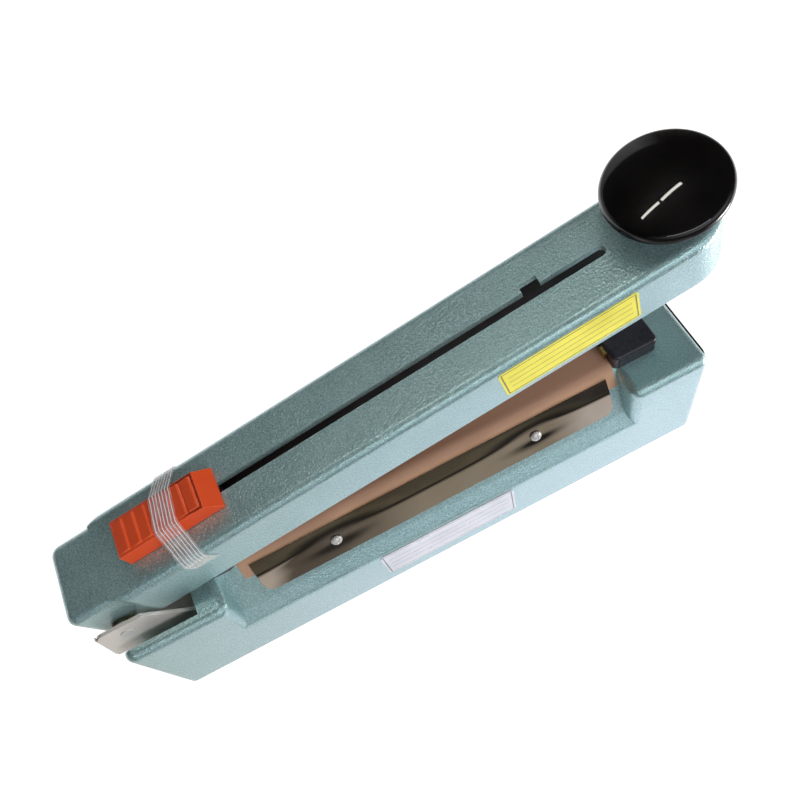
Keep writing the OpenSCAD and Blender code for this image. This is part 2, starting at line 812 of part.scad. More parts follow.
// One unbroken helix of round wire, from rings of points along its centre line
spring_rings = 8;
spring_sides = 6;
spring_low = bracket_floor + spring_wire / 2;
spring_pitch = (spring_top - spring_wire / 2 - spring_low) / spring_curls;
function spring_at(i) = [
    rod_x + spring_d / 2 * cos(i * 360 / spring_rings),
    spring_d / 2 * sin(i * 360 / spring_rings),
    spring_low + spring_pitch * i / spring_rings];
function wire_at(i, k) = let (a = i * 360 / spring_rings, b = k * 360 / spring_sides)
    spring_at(i) + spring_wire / 2 * [cos(b) * cos(a), cos(b) * sin(a), sin(b)];
spring_n = spring_curls * spring_rings;
spring_gap = min([for (i = [0:spring_n - spring_rings], j = [i + 4:i + spring_rings])
    norm(spring_at(i) - spring_at(j))]) - spring_wire;
echo(spring_gap = spring_gap);

module lift_spring() {
    m = spring_sides;
    points = [for (i = [0:spring_n], k = [0:m - 1]) wire_at(i, k)];
    sides = [for (i = [0:spring_n - 1], k = [0:m - 1]) let (a = i * m + k, b = i * m + (k + 1) % m)
        each [[a, b, a + m], [b, b + m, a + m]]];
    last = spring_n * m;
    ends = [for (k = [1:m - 2]) each [[0, k + 1, k], [last, last + k, last + k + 1]]];
    color("silver") place() polyhedron(points = points, faces = concat(sides, ends));
}

module push_rod() {
    rod_l = rod_rest_z - lever_z - slide_gap;
    color("silver") place() translate([rod_x, 0, lever_z + slide_gap]) {
        cylinder(r = rod_tip_r, h = rod_tip_h + eps);
        translate([0, 0, rod_tip_h]) rotate_extrude() intersection() {
            round_top(rod_d, rod_l - rod_tip_h, rod_d / 4);
            square([rod_d, rod_l]);
        }
    }
}

// Seal bed
module cutter_guide() {
    color("darkgray") place() difference() {
        block([bed_x0, -guide_w / 2, bed_top - guide_h], [bed_x1, guide_w / 2, cloth_top]);
        block([bed_x0 - eps, -groove_w / 2, bed_top - guide_h + guide_floor],
            [bed_x1 + eps, groove_w / 2, cloth_top + eps]);
    }
}

module insulation_strips() {
    color("tan") place() both_sides()
        block([bed_x0, ribbon_y - insulation_w / 2, bed_top - insulation_t - ribbon_t],
            [bed_x1, ribbon_y + insulation_w / 2, bed_top - ribbon_t]);
}

module heating_ribbons() {
    color("silver") place() both_sides()
        block([bed_x0, ribbon_y - ribbon_w / 2, bed_top - ribbon_t],
            [bed_x1, ribbon_y + ribbon_w / 2, bed_top]);
}

module terminal_at(grow) {
    for (x = [bed_x0, bed_x1 - terminal_t]) both_sides()
        block([x - grow, ribbon_y - ribbon_w / 2 - grow, bed_top],
            [x + terminal_t + grow, ribbon_y + ribbon_w / 2 + grow, bed_top + terminal_h]);
}

module element_terminals() {
    color("gold") place() terminal_at(0);
}

// Bare ends of the leads, behind the rear terminal block
module lead_tabs() {
    tab_w = 4;
    tab_l = 3.5;
    color("silver") place() both_sides()
        block([block_x[0] - tab_l, block_half - tab_w, base_h], [block_x[0], block_half, base_h + 1.2]);
}

// Cloth over one half of the bed, tucked under the clamp plate
module seal_cloth() {
    tuck = plate_up - cloth_tuck;
    inner = guide_w / 2 + 0.2;
    difference() {
        along_x(bed_x0, bed_x1) polygon(concat(
            [[inner, bed_top], [inner, cloth_top]],
            arc(shoulder_c, shoulder_r + cloth_t, 90, upper_lean, 8),
            [bed_side(tuck, cloth_t), bed_side(tuck, 0)],
            arc(shoulder_c, shoulder_r, upper_lean, 90, 8)));
        terminal_at(slide_gap);
    }
}

module seal_cloth_near() {
    color("rosybrown") place() mirror([0, 1, 0]) seal_cloth();
}

module seal_cloth_far() {
    color("rosybrown") place() seal_cloth();
}

module clamp_plate() {
    t0 = cloth_t + plate_gap;
    t1 = t0 + plate_t;
    low = bed_side(-plate_low, t0)[1];
    difference() {
        intersection() {
            along_x(plate_x0, plate_x0 + plate_l) polygon([bed_side(plate_up, t0), bed_side(plate_up, t1),
                bed_side(0, t1), bed_side(-plate_low, t1), bed_side(-plate_low, t0), bed_side(0, t0)]);
            along_y(0, base_w) mirror([0, 1]) translate([plate_x0 + plate_l / 2, -base_h])
                round_top(plate_l, base_h - low, plate_r);
        }
        plate_screw_at() translate([0, 0, -plate_t - 1]) cylinder(r = clear_hole_r, h = plate_t + 2);
    }
}

module clamp_plate_near() {
    color("gainsboro") place() mirror([0, 1, 0]) clamp_plate();
}

module clamp_plate_far() {
    color("gainsboro") place() clamp_plate();
}

module clamp_screws() {
    color("silver") place() plate_screw_at() screw(9);
}

// Terminal blocks at the ends of the bed
// A screw's seat below the base's roof is [x, y, z], and $reach is its length
module block_screw_at() {
    rear_seat = [rear_end_l - 4, hump_half - 5, hump_ceiling];
    front_seat = [front_x0 + 9, block_screw_y, front_ceiling];
    for (seat = [rear_seat, front_seat]) {
        $reach = base_h + block_h - 4 - seat[2];
        both_sides() translate(seat) children();
    }
}

module terminal_block(x, l) {
    difference() {
        translate([0, 0, base_h])
            cast_block([x, -block_half], [x + l, block_half], block_h, block_corner_r, block_edge_r);
        block_screw_at() cylinder(r = screw_hole_r, h = $reach + 1);
    }
}

module front_block() {
    color("black") place() terminal_block(block_x[1], front_block_l);
}

module rear_block() {
    color("black") place() terminal_block(block_x[0], rear_block_l);
}

module block_screws() {
    color("silver") place() block_screw_at() mirror([0, 0, 1]) screw($reach);
}

// Arm
module arm_outside() {
    neck_end = neck_x1 + neck_ramp + corner_r;
    translate([0, 0, arm_bot])
        cast_block([arm_x0, -neck_half], [neck_end, neck_half], arm_h, corner_r, arm_r);
    intersection() {
        along_x(neck_x1, nose_x) translate([0, arm_bot]) round_top(arm_w, arm_h, arm_r);
        linear_extrude(arm_top + eps) polygon([
            [neck_x1, -neck_half + 1], [neck_x1 + neck_ramp, -arm_half], [nose_x, -arm_half],
            [nose_x, arm_half], [neck_x1 + neck_ramp, arm_half], [neck_x1, neck_half - 1]]);
    }
    translate([nose_x, 0, arm_bot]) rotate_extrude() intersection() {
        round_top(arm_w, arm_h, arm_r);
        square([arm_half, arm_h]);
    }
}

module arm_hollow() {
    neck_to = neck_x1 + neck_ramp;
    block([arm_x0 + neck_wall, -neck_in, 0], [neck_to + eps, neck_in, arm_roof]);
    block([neck_to, -arm_in, 0], [nose_x, arm_in, arm_roof]);
    translate([nose_x, 0, 0]) cylinder(r = arm_in, h = arm_roof);
}

module slot_outline() {
    hull() for (x = [slot_x0, slot_x1 - slot_w])
        translate([x + slot_w / 2, 0]) circle(d = slot_w, $fn = 32);
    translate([notch_x, 0]) square([notch_l, notch_y]);
}

module arm_casting() {
    color("cadetblue") raise() difference() {
        union() {
            difference() {
                arm_outside();
                arm_hollow();
            }
            translate([rod_x, 0, boss_z]) cylinder(r = boss_r, h = arm_roof - boss_z + eps);
            both_sides() translate([hinge_x, neck_half - neck_wall / 2, hinge_z])
                cross_pin(lug_r, neck_wall / 2);
        }
        translate([hinge_x, 0, hinge_z]) cross_pin(bush_r, arm_w);
        translate([0, 0, arm_roof - eps]) linear_extrude(arm_top_t + 2 * eps) slot_outline();
        translate([knob_x, 0, arm_roof - eps]) cylinder(r = stud_r + run_gap, h = arm_top_t + 2 * eps);
    }
}

module hinge_bushes() {
    color("darkgoldenrod") raise() both_sides() translate([hinge_x, 0, hinge_z]) difference() {
        union() {
            translate([0, neck_half - neck_wall / 2, 0]) cross_pin(bush_r, neck_wall / 2);
            translate([0, neck_half + bush_flange_t / 2, 0]) cross_pin(bush_flange_r, bush_flange_t / 2);
        }
        cross_pin(pin_d / 2 + run_gap, arm_w);
    }
}

// A channel that opens upwards, with a tongue beside the front end of the slot
module pressure_bar() {
    difference() {
        block([bar_x0, bar_in, bar_z], [bar_x1, bar_in + bar_w, arm_roof]);
        block([bar_x0 - eps, bar_in + bar_t, bar_z + bar_t],
            [bar_x1 + eps, bar_in + bar_w - bar_t, arm_roof + eps]);
    }
    block([bar_x1 - eps, bar_in, tongue_z], [tongue_x1, bar_in + bar_t, arm_roof]);
}

module rubber_strip() {
    block([bar_x0, bar_in + rubber_inset, rubber_z], [bar_x1, bar_in + bar_w - rubber_inset, bar_z]);
}

module pressure_bar_near() {
    color("dimgray") raise() mirror([0, 1, 0]) pressure_bar();
}

module pressure_bar_far() {
    color("dimgray") raise() pressure_bar();
}

module rubber_strip_near() {
    color("orangered") raise() mirror([0, 1, 0]) rubber_strip();
}

module rubber_strip_far() {
    color("orangered") raise() rubber_strip();
}

module knob_outline() {
    tangent = [rim_c * dome_reach, knob_h - dome_r + (rim_z - knob_h + dome_r) * dome_reach];
    translate([rim_c, rim_z]) circle(rim_r);
    intersection() {
        translate([0, knob_h - dome_r]) circle(dome_r, $fn = 96);
        polygon([[0, rim_z - 1], [rim_c, rim_z], tangent, [tangent[0], knob_h + 1], [0, knob_h + 1]]);
    }
    polygon([[0, 0], [knob_neck_r, 0], [knob_neck_r, 4],
        [rim_c, rim_z - rim_r], [rim_c, rim_z], [0, rim_z]]);
}

module handle_knob() {
    color("black") raise() translate([knob_x, 0, arm_top]) difference() {
        rotate_extrude() knob_outline();
        translate([0, 0, -eps]) cylinder(r = stud_r + run_gap, h = stud_grip + 0.5 + eps);
    }
}

module knob_stud() {
    color("silver") raise() translate([knob_x, 0, arm_roof - nut_h - 1])
        cylinder(r = stud_r, h = nut_h + 1 + arm_top_t + stud_grip);
}

module knob_nut() {
    color("silver") raise() translate([knob_x, 0, arm_roof - nut_h]) difference() {
        cylinder(r = nut_r, h = nut_h, $fn = 6);
        translate([0, 0, -eps]) cylinder(r = stud_r + run_gap, h = nut_h + 2 * eps);
    }
}

module arm_label() {
    color("yellow") raise() along_y(-arm_half - arm_label_t, -arm_half)
        translate([arm_label_x, arm_bot + arm_label_z])
        round_rect([0, 0], [arm_label_l, arm_label_h], 2);
}

// Cutter
module slider_side_outline() {
    body_h = slider_h - pad_h;
    pads_x0 = slider_x0 + 1.2;
    front = slider_x0 + slider_l;
    polygon([[slider_x0, slider_z], [slider_x0, slider_z + body_h],
        [front - slider_bevel, slider_z + body_h], [front, slider_z + slider_lip], [front, slider_z]]);
    for (i = [0:slider_ribs - 1]) translate([pads_x0 + i * slider_pitch, slider_z + body_h])
        polygon([[0, -eps], [0, 0.3], [slider_pitch - 1.2, pad_h], [slider_pitch - 0.4, -eps]]);
}

module cutter_slider() {
    top_half = slider_w / 2 - slider_side;
    pad_half = top_half - pad_margin;
    body_h = slider_h - pad_h;
    color("orangered") raise() difference() {
        intersection() {
            along_y(-slider_w / 2, slider_w / 2) slider_side_outline();
            along_x(slider_x0, slider_x0 + slider_l) translate([0, slider_z]) polygon([
                [-slider_w / 2, 0], [-top_half, body_h], [-pad_half, body_h], [-pad_half, slider_h],
                [pad_half, slider_h], [pad_half, body_h], [top_half, body_h], [slider_w / 2, 0]]);
        }
        cutter_screw_at() translate([0, 0, shoe_h]) cylinder(r = screw_hole_r, h = slider_z - shoe_top + 5);
    }
}

module cutter_screw_at() {
    for (x = cutter_screw_x) translate([stem_x0 + x, 0, shoe_top - shoe_h]) children();
}

module cutter_shoe() {
    color("silver") raise() difference() {
        union() {
            block([stem_x0, -shoe_half, shoe_top - shoe_h], [stem_x0 + stem_l, shoe_half, shoe_top]);
            block([stem_x0, -stem_half, shoe_top - eps], [stem_x0 + stem_l, stem_half, slider_z]);
            block([blade_x - blade_l / 2 - carrier_margin, -carrier_half, shoe_top - shoe_h - carrier_h],
                [blade_x + blade_l / 2 + carrier_margin, carrier_half, shoe_top - shoe_h + eps]);
        }
        cutter_screw_at() translate([0, 0, -eps]) cylinder(r = screw_hole_r, h = shoe_h + 9);
        block([blade_x - blade_l / 2, -blade_t / 2, 0],
            [blade_x + blade_l / 2, blade_t / 2, shoe_top - shoe_h - carrier_h + blade_grip]);
    }
}

module cutter_blade() {
    top = shoe_top - shoe_h - carrier_h + blade_grip;
    x0 = blade_x - blade_l / 2;
    color("lightgray") raise() along_y(-blade_t / 2, blade_t / 2)
        polygon([[x0, top], [x0, blade_tip + blade_l / 2], [x0 + blade_l / 2, blade_tip],
            [x0 + blade_l, blade_tip + blade_l / 2], [x0 + blade_l, top]]);
}

module cutter_screws() {
    color("silver") raise() cutter_screw_at() mirror([0, 0, 1]) screw(slider_z - shoe_top + shoe_h + 4);
}

// Tape that lies on the thumb piece and down both sides of the arm
module transport_tape() {
    side = arm_half + slide_gap;
    low = arm_top - tape_drop;
    edge_z = arm_top - arm_r / 2;
    over = slider_w / 2 - slider_side + slide_gap;
    ridge = slider_z + slider_h + 0.1;
    bend = side - arm_r / 2;
    outer = [[side + tape_t, low], [side + tape_t, edge_z], [bend + tape_t, arm_top + slide_gap + tape_t],
        [over + tape_t, ridge + tape_t / 2], [over - 1, ridge + tape_t]];
    inner = [[over - 1, ridge], [over, ridge - tape_t / 2], [bend, arm_top + slide_gap],
        [side, edge_z], [side, low]];
    color("white", 0.5) raise() along_x(tape_x, tape_x + tape_w)
        polygon(concat(outer, across(swap(outer)), across(swap(inner)), inner));
}

base_housing();
bottom_plate();
bottom_screws();
rubber_feet();
nameplate();
front_panel();
panel_screws();
pilot_lamp();
timer_board();
timer_pot();
board_spacers();
transformer_core();
transformer_coil();
microswitch();
cord_gland();
hinge_bracket();
bracket_screws();
hinge_pin();
hinge_washers();
lift_spring();
cutter_guide();
insulation_strips();
heating_ribbons();
element_terminals();
lead_tabs();
seal_cloth_near();
seal_cloth_far();
clamp_plate_near();
clamp_plate_far();
clamp_screws();
front_block();
rear_block();
block_screws();
arm_casting();
hinge_bushes();
pressure_bar_near();
pressure_bar_far();
rubber_strip_near();
rubber_strip_far();
handle_knob();
knob_stud();
knob_nut();
arm_label();
cutter_slider();
cutter_shoe();
cutter_blade();
cutter_screws();
transport_tape();
push_rod();
switch_lever();
timer_dial();
dial_spindle();
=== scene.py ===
# Hand impulse sealer: finishes, finely shaped pieces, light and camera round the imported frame.
import json
import math

import bmesh
import bpy
from mathutils import Matrix, Vector, noise

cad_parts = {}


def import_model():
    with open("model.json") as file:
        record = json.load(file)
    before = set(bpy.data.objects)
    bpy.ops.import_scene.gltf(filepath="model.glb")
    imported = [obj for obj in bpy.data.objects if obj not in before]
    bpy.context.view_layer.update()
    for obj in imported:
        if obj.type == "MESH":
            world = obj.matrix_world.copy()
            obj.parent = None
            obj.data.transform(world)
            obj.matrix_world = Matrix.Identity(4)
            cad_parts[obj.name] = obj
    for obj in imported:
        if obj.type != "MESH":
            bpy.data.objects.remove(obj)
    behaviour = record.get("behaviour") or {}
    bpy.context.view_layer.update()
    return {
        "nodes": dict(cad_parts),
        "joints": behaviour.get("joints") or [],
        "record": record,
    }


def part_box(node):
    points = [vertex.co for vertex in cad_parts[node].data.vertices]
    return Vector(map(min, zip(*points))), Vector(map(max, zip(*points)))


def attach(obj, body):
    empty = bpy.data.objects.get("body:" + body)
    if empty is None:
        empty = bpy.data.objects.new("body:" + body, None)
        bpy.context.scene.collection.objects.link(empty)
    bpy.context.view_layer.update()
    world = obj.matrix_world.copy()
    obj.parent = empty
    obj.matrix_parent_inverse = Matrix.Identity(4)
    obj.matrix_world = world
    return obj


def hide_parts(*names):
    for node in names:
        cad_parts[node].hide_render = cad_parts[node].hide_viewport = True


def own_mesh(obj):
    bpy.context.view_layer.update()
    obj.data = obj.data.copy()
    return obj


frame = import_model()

# Lengths below are in millimetres: x from the base's rear face, z from its lower edge.
MM = 0.001
QUARTER = math.radians(90)
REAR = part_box("base_housing")[0].x
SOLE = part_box("base_housing")[0].z
JOINTS = {joint["name"]: joint for joint in frame["joints"]}
HINGE = Vector(JOINTS["arm_hinge"]["pos_m"])
OPEN = math.radians(JOINTS["arm_hinge"]["range_deg"][1])
RAISE = Matrix.Translation(HINGE) @ Matrix.Rotation(-OPEN, 4, "Y") @ Matrix.Translation(-HINGE)

# Seal bed and its clamp plates, in cross section: y from the middle plane, then z
BED_X = (66.5, 278)
BED_BEND = Vector((25.258, 64.6))
UPPER_LEAN = math.radians(32.9)
LOWER_LEAN = math.radians(23)
BED_TOP = 77.6
SHOULDER = Vector((14.4, 73.1))
SHOULDER_R = 4.5
CLOTH_INNER = 5.4
CLOTH_T = 0.35
CLOTH_TUCK = 1.3
CLOTH_SEAT = 0.02
CLOTH_WAVE = 0.09
CLOTH_COLUMNS = 106
# Heights where the cloth's flat top turns darker brown: painted shade under the arm, partly heat browning
PAINTED_SHADE_Z = (73.5, 77)
PLATE_X = (71.75, 272.75)
PLATE_UP = 8.9
PLATE_DOWN = 13.5
PLATE_LIFT = 0.37
PLATE_T = 1
PLATE_CORNER = 6
PLATE_BEND_SOFT = 1.6
PLATE_SCREW_X = (115.25, 229.25)
PLATE_SCREW_UP = -2.5
PLATE_COLUMNS = 120
PLATE_ROWS = 34
PLATE_EDGE = 0.22
DENT_DEPTH = 0.75
DENT_LONG = 20
DENT_HIGH = 5
DENT_BEHIND = 0.3

# Arm, knob and cutter, as they stand with the jaw shut
ARM_TOP = 106
ARM_HALF = 23.8
ARM_R = 4.5
KNOB_X = 320
KNOB_SIDES = 128
SLIDER_TOP = 116
SLIDER_TOP_HALF = 9.5
SLIDER_EDGE = 1.2
TAPE_X = 64.45
TAPE_W = 12.5
TAPE_T = 0.12
TAPE_LOW = 95
TAPE_GAP = 0.4
TAPE_STEPS = 28
TAPE_WRINKLE = 0.07
TAPE_TEAR = 0.5
TAPE_CROWN = 0.12
STRANDS = 7
STRAND_END = 101
STRAND_R = 0.21
STRAND_SWAY = 0.22
STRAND_LIFT = 0.1
STRAND_MARGIN = 0.6

# Lift spring under the arm's neck
SPRING_X = 31
SPRING_Z = (45.8, 82.11)
SPRING_R = 5.75
WIRE_R = 0.9
CURLS = 7
CLOSED_CURLS = 0.8
CLOSED_PITCH = 0.98
CURL_STEPS = 40

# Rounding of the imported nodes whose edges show
SOFT_EDGES = {"base_housing": 1.8, "arm_casting": 1.2, "cutter_slider": 0.25, "front_block": 0.6,
              "rear_block": 0.6, "timer_dial": 0.3, "pilot_lamp": 0.3, "cord_gland": 0.4, "rubber_feet": 0.5,
              "bottom_plate": 0.3, "front_panel": 0.2, "cutter_guide": 0.15, "hinge_pin": 0.15}

# Screws and dial
HEAD_R = 3
HEAD_H = 1.8
SHANK_R = 1.45
CROSS_LONG = 1.75
CROSS_WIDE = 0.42
CROSS_DEEP = 0.5
CROSS_TAPER = 0.45
CROSS_START, CROSS_FULL = 1.25, 0.75
FIRST_TURN = 0.7
NEXT_TURN = 1.3
DIAL_Z = 31
DIAL_SWEEP = 270
DIAL_NUMBERS = 8
NUMBER_SIZE = 4.2
NUMBER_R = 13.4
NUMBER_T = 0.06
NUMBER_LIFT = 0.02
DIAL_FACE_X = 326.5
PANEL_FACE_X = 323


def base_point(x, y, z):
    """A point of the base, in metres."""
    return Vector((REAR + x * MM, y * MM, SOLE + z * MM))


def arm_point(x, y, z):
    """A point of the arm, drawn with the jaw shut and raised to where the arm rests."""
    return RAISE @ base_point(x, y, z)


def heading(angle):
    """A step of length 1 at an angle, in a plane."""
    return Vector((math.cos(angle), math.sin(angle)))


def scene_object(name, data):
    """A new object of the scene."""
    made = bpy.data.objects.new(name, data)
    bpy.context.scene.collection.objects.link(made)
    return made


def srgb(red, green, blue):
    """A linear colour from a screen colour of 0 to 255."""
    def linear(value):
        value /= 255
        return value / 12.92 if value <= 0.04045 else ((value + 0.055) / 1.055) ** 2.4
    return linear(red), linear(green), linear(blue), 1


# Shader nodes

# Lines per metre of brushed metal, few along one axis and many across it
ALONG_X = (60.0, 2500.0, 2500.0)
ALONG_Y = (2500.0, 60.0, 2500.0)
ALONG_Z = (2500.0, 2500.0, 60.0)


def node(tree, kind, inputs=None, **attributes):
    """A shader node with its attributes set and its inputs filled with values or linked to sockets."""
    made = tree.nodes.new("ShaderNode" + kind)
    for name, value in attributes.items():
        setattr(made, name, value)
    for name, value in (inputs or {}).items():
        if isinstance(value, bpy.types.NodeSocket):
            tree.links.new(value, made.inputs[name])
        else:
            made.inputs[name].default_value = value
    return made


def math_node(tree, operation, first, second=0.5, clamp=False):
    """The output of a Math node."""
    return node(tree, "Math", {0: first, 1: second}, operation=operation, use_clamp=clamp).outputs[0]


def times(tree, first, second):
    """The product of two values."""
    return math_node(tree, "MULTIPLY", first, second)


def blend(tree, share, first, second):
    """The colour that goes from first to second as share goes from 0 to 1."""
    made = node(tree, "Mix", data_type="RGBA")
    for socket, value in ((made.inputs[0], share), (made.inputs[6], first), (made.inputs[7], second)):
        if isinstance(value, bpy.types.NodeSocket):
            tree.links.new(value, socket)
        else:
            socket.default_value = value
    return made.outputs[2]


def remap(tree, value, low, high, to_low=0, to_high=1):
    """A value taken from one range to another, held at its ends."""
    return node(tree, "MapRange", {"Value": value, "From Min": low, "From Max": high,
                                   "To Min": to_low, "To Max": to_high}).outputs[0]


def object_spot(tree):
    """Place on the piece, in metres, which stays with it as it moves."""
    return node(tree, "TexCoord").outputs["Object"]


def cloud(tree, scale, detail, spot=None):
    """A soft noise of 0 to 1, its patches per metre of the piece, or of another spot."""
    inputs = {"Vector": spot or object_spot(tree), "Scale": scale, "Detail": detail}
    return node(tree, "TexNoise", inputs).outputs["Fac"]


def new_group(name, inputs, outputs):
    """An empty node group with its named sockets: the group, what comes in and what goes out."""
    group = bpy.data.node_groups.new(name, "ShaderNodeTree")
    for label, value in inputs.items():
        kind = "NodeSocketVector" if isinstance(value, tuple) else "NodeSocketFloat"
        group.interface.new_socket(label, in_out="INPUT", socket_type=kind).default_value = value
    for label in outputs:
        group.interface.new_socket(label, in_out="OUTPUT", socket_type="NodeSocketFloat")
    come_in = group.nodes.new("NodeGroupInput").outputs
    go_out = group.nodes.new("NodeGroupOutput").inputs
    return group, come_in, go_out


def grain_group():
    """Fine even grain of moulded, cast or rolled surfaces, its size in grains per metre."""
    group, come_in, go_out = new_group("fine_grain", {"Grains": 1500, "Detail": 2}, ["Height"])
    speckle = node(group, "TexNoise", {"Vector": object_spot(group), "Scale": come_in["Grains"],
                                       "Detail": come_in["Detail"], "Roughness": 0.6})
    group.links.new(speckle.outputs["Fac"], go_out["Height"])
    return group


def smudge_group():
    """Roughness that drifts between two levels, as handling and dust leave it."""
    group, come_in, go_out = new_group("smudges", {"Low": 0.1, "High": 0.3, "Patches": 60}, ["Roughness"])
    cloud = node(group, "TexNoise", {"Vector": object_spot(group), "Scale": come_in["Patches"],
                                     "Detail": 5, "Roughness": 0.65})
    level = node(group, "MapRange", {"Value": cloud.outputs["Fac"], "From Min": 0.35, "From Max": 0.68,
                                     "To Min": come_in["Low"], "To Max": come_in["High"]})
    group.links.new(level.outputs[0], go_out["Roughness"])
    return group


def wear_group():
    """Mask of rubbed edges, broken up so that the rub comes and goes."""
    group, come_in, go_out = new_group("edge_wear", {"Width": 0.001, "Amount": 1}, ["Mask"])
    rounded = node(group, "Bevel", {"Radius": come_in["Width"]}, samples=6)
    true = node(group, "NewGeometry").outputs["Normal"]
    match = node(group, "VectorMath", {0: rounded.outputs[0], 1: true}, operation="DOT_PRODUCT")
    edge = remap(group, match.outputs["Value"], 0.995, 0.86)
    broken = remap(group, cloud(group, 260, 4), 0.38, 0.62)
    rubbed = math_node(group, "MULTIPLY", times(group, edge, broken), come_in["Amount"], True)
    group.links.new(rubbed, go_out["Mask"])
    return group


def brush_group():
    """Fine lines left by rolling or brushing, drawn out along one direction by the stretch."""
    group, come_in, go_out = new_group("brushed_lines", {"Stretch": ALONG_X}, ["Height"])
    drawn = node(group, "VectorMath", {0: object_spot(group), 1: come_in["Stretch"]}, operation="MULTIPLY")
    lines = node(group, "TexNoise", {"Vector": drawn.outputs[0], "Scale": 1, "Detail": 3, "Roughness": 0.55})
    group.links.new(lines.outputs["Fac"], go_out["Height"])
    return group


def weave_group():
    """Plain weave: threads that pass over and under each other, with a given number per metre."""
    group, come_in, go_out = new_group("plain_weave", {"Spot": (0.0, 0.0, 0.0), "Threads": 1600}, ["Height"])
    parts = node(group, "SeparateXYZ", {0: come_in["Spot"]}).outputs
    waves = []
    for part in (parts[0], parts[1]):
        turn = times(group, times(group, part, come_in["Threads"]), math.pi)
        thread = math_node(group, "ABSOLUTE", math_node(group, "SINE", turn))
        waves.append((thread, math_node(group, "COSINE", turn)))
    (warp, warp_turn), (weft, weft_turn) = waves
    over = remap(group, times(group, warp_turn, weft_turn), -0.4, 0.4)
    under = math_node(group, "SUBTRACT", 1, over)
    height = math_node(group, "ADD", times(group, warp, over), times(group, weft, under))
    group.links.new(height, go_out["Height"])
    return group


def print_group():
    """Ink of a blank form: a thin frame and a few plain rules. Spot is in millimetres from a corner."""
    sizes = {"Spot": (0.0, 0.0, 0.0), "Long": 79, "High": 30, "Inset": 1.4, "Line": 0.35, "Rules": 4}
    group, come_in, go_out = new_group("ruled_form", sizes, ["Ink"])
    parts = node(group, "SeparateXYZ", {0: come_in["Spot"]}).outputs
    reach = []
    for part, size in ((parts[0], come_in["Long"]), (parts[2], come_in["High"])):
        far = math_node(group, "SUBTRACT", size, part)
        reach.append(math_node(group, "SUBTRACT", math_node(group, "MINIMUM", part, far), come_in["Inset"]))
    inside = math_node(group, "MINIMUM", reach[0], reach[1])
    border = math_node(group, "LESS_THAN", math_node(group, "ABSOLUTE", inside), come_in["Line"])
    field = math_node(group, "GREATER_THAN", inside, 2.2)
    share = math_node(group, "DIVIDE", parts[2], come_in["High"])
    rows = times(group, share, come_in["Rules"])
    step = math_node(group, "DIVIDE", come_in["High"], come_in["Rules"])
    off_middle = math_node(group, "SUBTRACT", math_node(group, "FRACT", rows), 0.5)
    off_rule = times(group, math_node(group, "ABSOLUTE", off_middle), step)
    rule = times(group, math_node(group, "LESS_THAN", off_rule, 0.22), field)
    group.links.new(math_node(group, "MAXIMUM", border, rule), go_out["Ink"])
    return group


GROUPS = {"grain": grain_group(), "smudges": smudge_group(), "wear": wear_group(), "brush": brush_group(),
          "weave": weave_group(), "print": print_group()}


def effect(tree, name, **inputs):
    """The outputs of a shared effect, placed in a material with its own values."""
    return node(tree, "Group", inputs, node_tree=GROUPS[name]).outputs


def smudged(tree, low, high, patches):
    """A roughness that drifts between two levels in patches per metre."""
    return effect(tree, "smudges", Low=low, High=high, Patches=patches)["Roughness"]


def bump(tree, height, depth, strength=1.0, under=None):
    """A normal bumped by a height of 0 to 1 that stands for a depth in millimetres."""
    inputs = {"Height": height, "Distance": depth * MM, "Strength": strength}
    if under is not None:
        inputs["Normal"] = under
    return node(tree, "Bump", inputs).outputs[0]


def new_finish(name, **plain):
    """A material with its Principled shader, whose plain sockets are set here."""
    material = bpy.data.materials.new(name)
    material.use_nodes = True
    shader = material.node_tree.nodes["Principled BSDF"]
    for socket, value in plain.items():
        shader.inputs[socket.replace("_", " ")].default_value = value
    return material, material.node_tree, shader


def dress(tree, shader, **sockets):
    """Links outputs to the shader's named sockets."""
    for socket, output in sockets.items():
        tree.links.new(output, shader.inputs[socket.replace("_", " ")])


# Finishes

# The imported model's plain colours make way for the finishes below.
for plain_colour in list(bpy.data.materials):
    bpy.data.materials.remove(plain_colour)


def hammered_enamel():
    """Teal hammered enamel with metal flake: soft pebbles, a fine mottle and a hard gloss coat."""
    material, tree, shader = new_finish("teal_paint", Metallic=0.7, Coat_Weight=1.0, Coat_Roughness=0.24,
                                        Coat_IOR=1.8)
    spot = object_spot(tree)
    drift = node(tree, "TexNoise", {"Vector": spot, "Scale": 500, "Detail": 2})
    pushed = node(tree, "VectorMath", {0: drift.outputs["Color"], 1: (MM, MM, MM)}, operation="MULTIPLY")
    bent = node(tree, "VectorMath", {0: spot, 1: pushed.outputs[0]}, operation="ADD").outputs[0]
    cells = node(tree, "TexVoronoi", {"Vector": bent, "Scale": 850, "Smoothness": 0.6}, feature="SMOOTH_F1")
    pebble = remap(tree, cells.outputs["Distance"], 0.15, 0.7, 1, 0)
    mottle = effect(tree, "grain", Grains=2100, Detail=2)["Height"]
    height = math_node(tree, "ADD", times(tree, pebble, 0.75), times(tree, mottle, 0.25))
    tone = blend(tree, remap(tree, mottle, 0.36, 0.64), srgb(126, 170, 170), srgb(204, 237, 238))
    tone = blend(tree, remap(tree, pebble, 0.5, 0, 0, 0.35), tone, srgb(134, 174, 176))
    tone = blend(tree, remap(tree, cloud(tree, 22, 3), 0.35, 0.7, 0, 0.25), tone, srgb(178, 206, 206))
    worn = effect(tree, "wear", Width=0.0012, Amount=0.2)["Mask"]
    tone = blend(tree, worn, tone, srgb(222, 236, 236))
    dress(tree, shader, Base_Color=tone, Normal=bump(tree, height, 0.15, 0.5),
          Coat_Normal=bump(tree, height, 0.25),
          Roughness=smudged(tree, 0.36, 0.46, 45))
    return material


